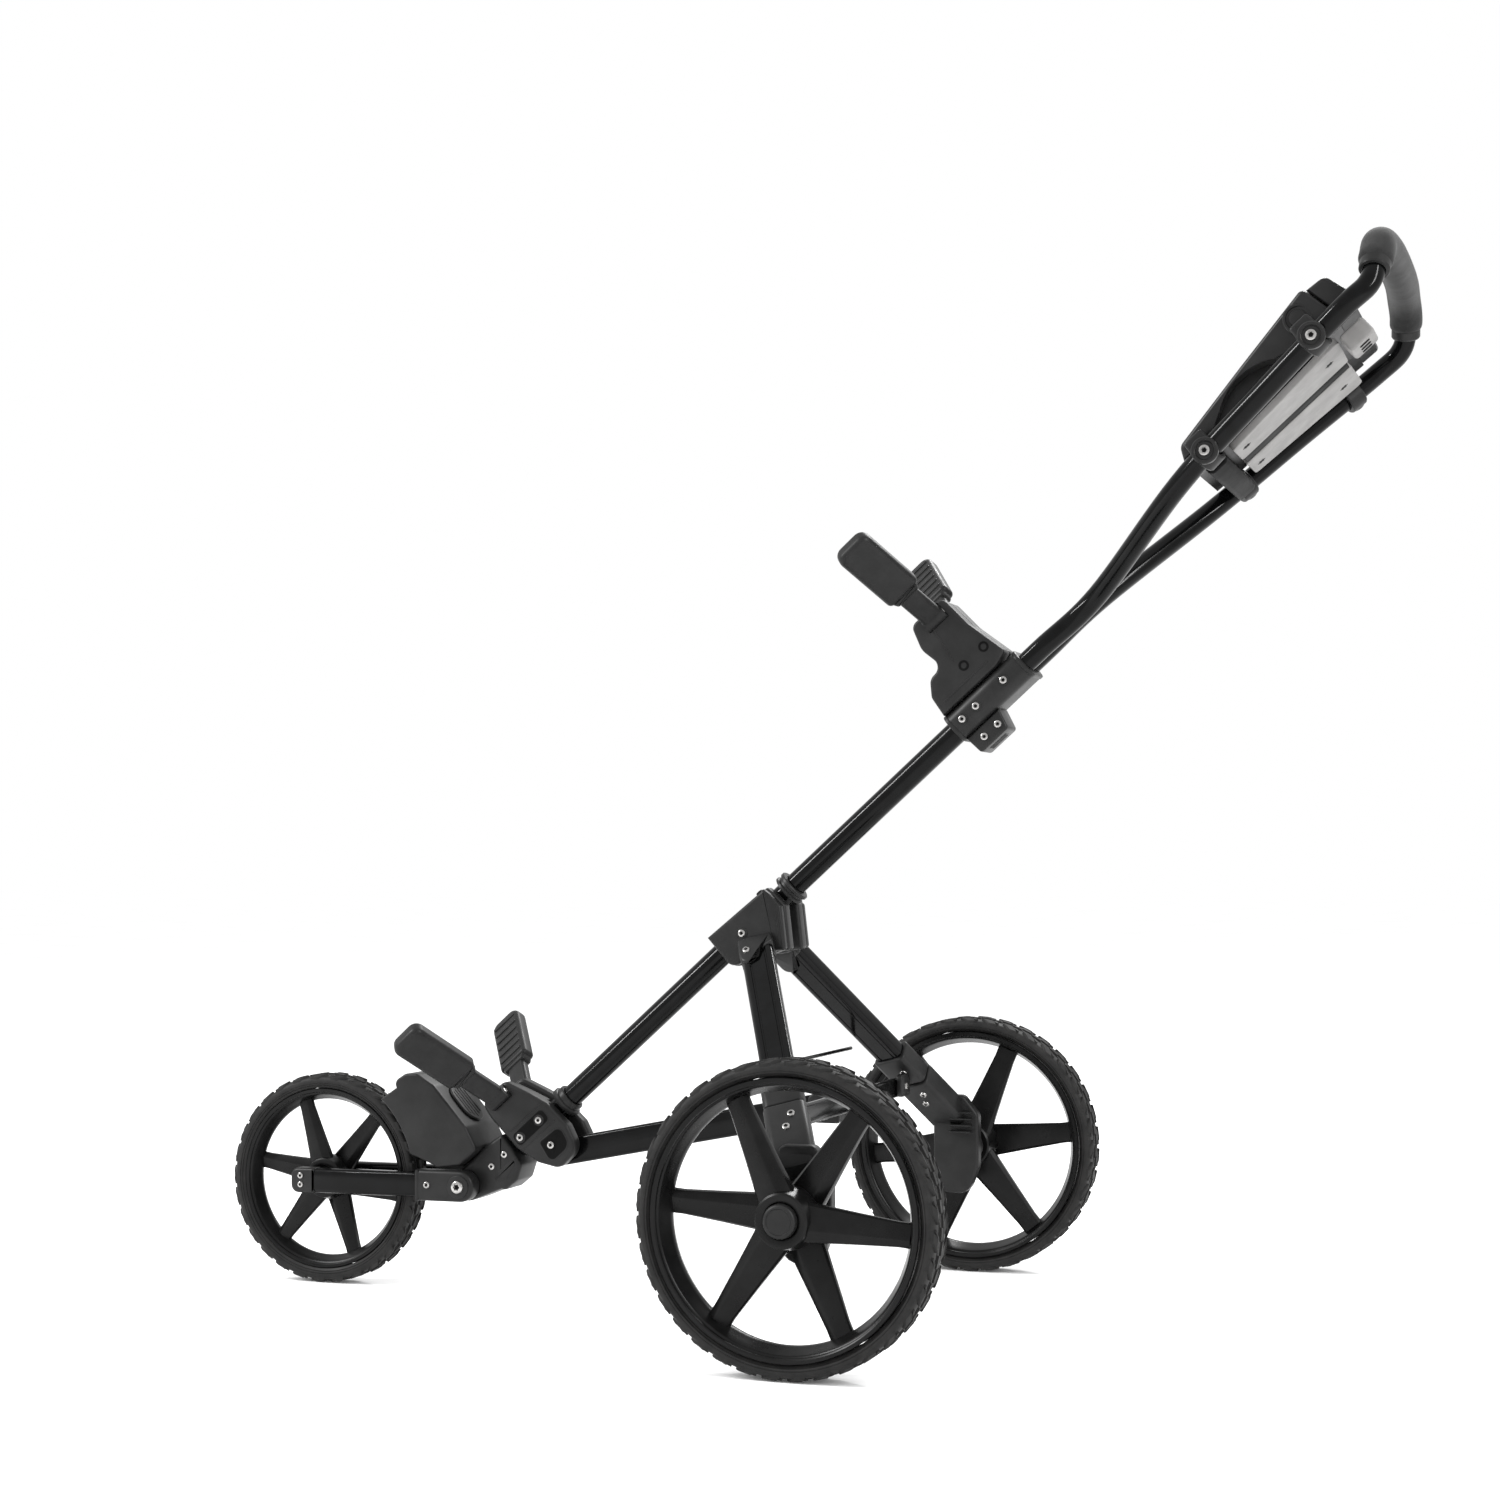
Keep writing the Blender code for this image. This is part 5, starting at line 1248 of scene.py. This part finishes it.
def make_console_body():
    """The console's shell, with the lid's well and an arch under each flank cut out of it."""
    outline = rounded([(-0.023, CONSOLE_FLOOR, 0.0), (-0.015, 0.027, 0.009), (0.08, 0.0385, 0.03),
                       (0.172, 0.0485, 0.006), (0.178, CONSOLE_FLOOR, 0.0)], 8)
    body = Piece("console_shell", CONSOLE)
    body.add(widened(slab(outline, 2 * CONSOLE_HALF, 0.004, 5)), console_plane())
    cutters = [(slab(rectangle(0.058, 0.15, 0.006), 0.05), console_flat(0.121, 0.041))]
    arch = [Vector((0.018, 0.004)), Vector((0.018, 0.0135))] + arc((0.07, -0.03), 0.062, 122, 52, 18)
    arch += [Vector((0.126, 0.0135)), Vector((0.126, 0.004))]
    for side in (-1, 1):
        cutters.append((slab(arch, 0.05), console_plane(0.0, 0.0, side * 0.128)))
    body.done("upper_frame", "console_body", cutters)


def make_end_box():
    outline = rounded([(0.1787, CONSOLE_FLOOR + 0.001, 0.0), (0.174, 0.045, 0.0), (0.196, 0.043, 0.008),
                       (0.203, CONSOLE_FLOOR, 0.005)])
    end = Piece("console_end_cap", PLASTIC)
    end.add(slab(outline, 0.276, 0.004, 5), console_plane())
    for row in range(-2, 3):
        rib = slab(rectangle(0.0014, 0.022, 0.0), 0.03, 0.0004, 1)
        end.add(rib, console_plane(0.1996, 0.028, row * 0.036))
    end.done("upper_frame", "console_end_box")


def make_tray():
    tray = Piece("console_underside", LIGHT_GREY)
    flat = console_flat(0.018, -0.004)
    below = 1 if flat.col[2].xyz.dot(CONSOLE_OUT) < 0 else -1
    for side in (-1, 1):
        strip = rounded([(0.001, side * 0.014, 0.003), (0.144, side * 0.014, 0.003),
                         (0.1455, side * 0.108, 0.006), (0.001, side * 0.076, 0.006)])
        tray.add(slab(strip, 0.008, 0.0012, 3), flat)
        for along, across in ((0.014, 0.05), (0.126, 0.062)):
            hole = flat @ Matrix.Translation((along, side * across, below * 0.004))
            # the holes are dark discs in painted shade
            tray.add(lathe([(0.0042, -0.0002), (0.0042, 0.0003)], 36, False, 6, (0, 1), 0.22), hole, PAINTED_SHADE)
    spine = rounded(box_outline(0.003, 0.142, 0.0145, (0.002, 0.002)))
    # the spine between the strips is in painted shade
    tray.add(slab(spine, 0.006, 0.0008, 2), flat, PAINTED_SHADE)
    tray.done("upper_frame", "console_tray")


def make_bridge():
    # The crossbar is all in painted shade: near-black because it lies in shadow under the console.
    bridge = Piece("console_crossbar", PAINTED_SHADE)
    half = handle_half_width(-0.01) - HANDLE_RADIUS - 0.004
    outline = rounded(box_outline(-0.012, 0.012, 0.013, (0.006, 0.006)))
    bridge.add(slab(outline, 2 * half, 0.0025, 3), console_plane(-0.001, -0.0025))
    bridge.done("upper_frame", "console_bridge")


def make_lid():
    lid = Piece("console_cover", CONSOLE)
    outline = rounded([(0.0862, 0.0402, 0.001), (0.0862, 0.0428, 0.001), (0.1558, 0.0506, 0.001),
                       (0.1558, 0.0478, 0.001)], 2)
    lid.add(slab(outline, 0.18, 0.0008, 2), console_plane())
    lid.add(slab(rectangle(0.008, 0.004, 0.0012), 0.03, 0.0008, 2), console_plane(0.083, 0.0425))
    for side in (-1, 1):
        ear = slab(rectangle(0.009, 0.0026, 0.0006), 0.02, 0.0004, 1)
        lid.add(ear, console_plane(0.157, 0.0497, side * 0.045))
    lid.add(tube([console_plane(0.161, 0.05, y).translation for y in (-0.06, 0.06)], 0.0022, 20))
    lid.done("lid", "console_lid")


def make_tee_holder():
    holder = Piece("tee_rack", LIGHT_GREY)
    middle = -0.095
    holder.add(slab(rectangle(0.03, 0.02, 0.004), 0.044, 0.0025, 4), console_plane(0.18, -0.0165, middle))
    for row in (-1, 0, 1):
        # the slots are dark strips in painted shade
        slot = slab(stadium(0.012, 0.0046, 6), 0.0009, 0.0002, 1)
        holder.add(slot, console_flat(0.18, -0.0268, middle + row * 0.012), PAINTED_SHADE)
    holder.done("upper_frame", "tee_holder")


def make_console_clamp(side_name, side):
    """The two rings that hold the console to one side of the handle, each with a lug and a bolt."""
    clamp = Piece("console_clamp_ring_" + side_name, PLASTIC)
    outward = (0, side, 0)
    slope = Vector((CONSOLE_RISE.x, CONSOLE_RISE.y * side, CONSOLE_RISE.z))
    ring = [(0.0112, -0.0095), (0.0148, -0.0095), (0.0158, -0.0082), (0.0158, 0.0082), (0.0148, 0.0095),
            (0.0112, 0.0095)]
    lug = tapered(0.013, 0.011, -0.004, 0.02, (0.006, 0.003))
    boss = [(0.0092, -0.002), (0.0136, -0.002), (0.0136, 0.003), (0.0124, 0.0042), (0.0102, 0.0042),
            (0.0092, 0.003)]
    for along in (0.0, UPPER_CLAMP):
        clamp.add(lathe(ring, 48), facing(clamp_point(along, side), slope))
        lug_y = side * (handle_half_width(along) + 0.0125)
        clamp.add(slab(lug, 0.01, 0.0025, 3), console_plane(along, 0.0, lug_y), CONSOLE)
        face = clamp_point(along, side, 0.0165)
        clamp.add(lathe(boss, 48), facing(face, outward), CONSOLE)
        clamp.add(lathe(disc_profile(0.0094, 0.0022, 0.0006), 40, False), facing(face, outward))
        screw(clamp, face + Vector((0, side * 0.0024, 0)), outward, 0.0058, 0.0022)
    clamp.done("upper_frame", "console_clamp_" + side_name)


def make_knob(side_name, side):
    """The round dish on the console's flank."""
    knob = Piece("console_knob_" + side_name, CONSOLE)
    along = 0.15
    half = CONSOLE_HALF * (1 + CONSOLE_SPREAD * along)
    point = console_plane(along, 0.029, side * (half - 0.0006)).translation
    profile = [(0.015, -0.001), (0.015, 0.0022), (0.014, 0.0032), (0.0122, 0.0032), (0.0114, 0.0018),
               (0.009, 0.0018), (0.0082, 0.0036), (0.007, 0.004)]
    knob.add(lathe(profile, 56, False), facing(point, (0, side, 0)))
    knob.done("upper_frame")


def make_latch():
    latch = Piece("console_latch", CONSOLE)
    outline = tapered(0.006, 0.0045, 0.0, 0.0038, (0.0, 0.0015))
    latch.add(slab(outline, 0.022, 0.0008, 2), console_plane(0.0765, 0.037))
    latch.done("upper_frame")


def make_console():
    make_console_body()
    make_end_box()
    make_tray()
    make_bridge()
    make_lid()
    make_tee_holder()
    for side_name, side in SIDES:
        make_console_clamp(side_name, side)
        make_knob(side_name, side)
    make_latch()


# ---------------- setting
CAMERA = Vector((0.893, -2.5475, 0.483))
AZIMUTH = math.radians(20.043)
ELEVATION = math.radians(-2.617)
LENS = 59.36
SENSOR = 36.0
FLOOR_HALF = 30


def make_camera():
    level = math.cos(ELEVATION)
    back = Vector((math.sin(AZIMUTH) * level, -math.cos(AZIMUTH) * level, math.sin(ELEVATION)))
    right = (-back).cross(Vector((0, 0, 1))).normalized()
    seen = Matrix((right, right.cross(-back), back)).transposed().to_4x4()
    seen.translation = CAMERA
    camera = bpy.data.objects.new("camera", bpy.data.cameras.new("camera"))
    camera.matrix_world = seen
    camera.data.sensor_width = SENSOR
    camera.data.lens = LENS
    bpy.context.scene.collection.objects.link(camera)
    bpy.context.scene.camera = camera


def make_light(name, at, target, size, energy):
    data = bpy.data.lights.new(name, "AREA")
    data.shape = "RECTANGLE"
    data.size, data.size_y = size
    data.energy = energy
    light = bpy.data.objects.new(name, data)
    light.matrix_world = facing(at, Vector(at) - Vector(target))
    bpy.context.scene.collection.objects.link(light)


def make_setting():
    ground = Surface("pale_floor", 0.9, Specular_IOR_Level=0.0, Emission_Color=(1, 1, 1, 1),
                     Emission_Strength=0.06)
    ground.colour(ground.noise(3.0), grey(0.93), grey(0.95))
    floor = bpy.data.meshes.new("floor")
    corners = [(x * FLOOR_HALF, y * FLOOR_HALF, 0) for x, y in ((-1, -1), (1, -1), (1, 1), (-1, 1))]
    floor.from_pydata(corners, [], [(0, 1, 2, 3)])
    floor.materials.append(ground.material)
    made = bpy.data.objects.new("floor", floor)
    bpy.context.scene.collection.objects.link(made)

    world = bpy.data.worlds.new("studio")
    world.use_nodes = True
    world.node_tree.nodes["Background"].inputs["Color"].default_value = (1.0, 1.0, 1.0, 1.0)
    world.node_tree.nodes["Background"].inputs["Strength"].default_value = 1.0
    bpy.context.scene.world = world
    bpy.context.scene.view_settings.view_transform = "Standard"
    middle = (0.0, 0.0, 0.5)
    make_light("key", (-2.6, -1.6, 2.3), middle, (0.25, 1.8), 110.0)
    make_light("side", (2.6, -1.4, 2.0), middle, (0.25, 1.8), 60.0)
    make_light("back", (0.6, 2.8, 3.0), middle, (2.0, 0.3), 80.0)


make_camera()
make_setting()
make_wheels()
make_fork()
make_lower_frame()
make_lower_bracket()
make_arms()
make_knee()
make_rear_frame()
make_upper_bracket()
make_handle()
make_console()
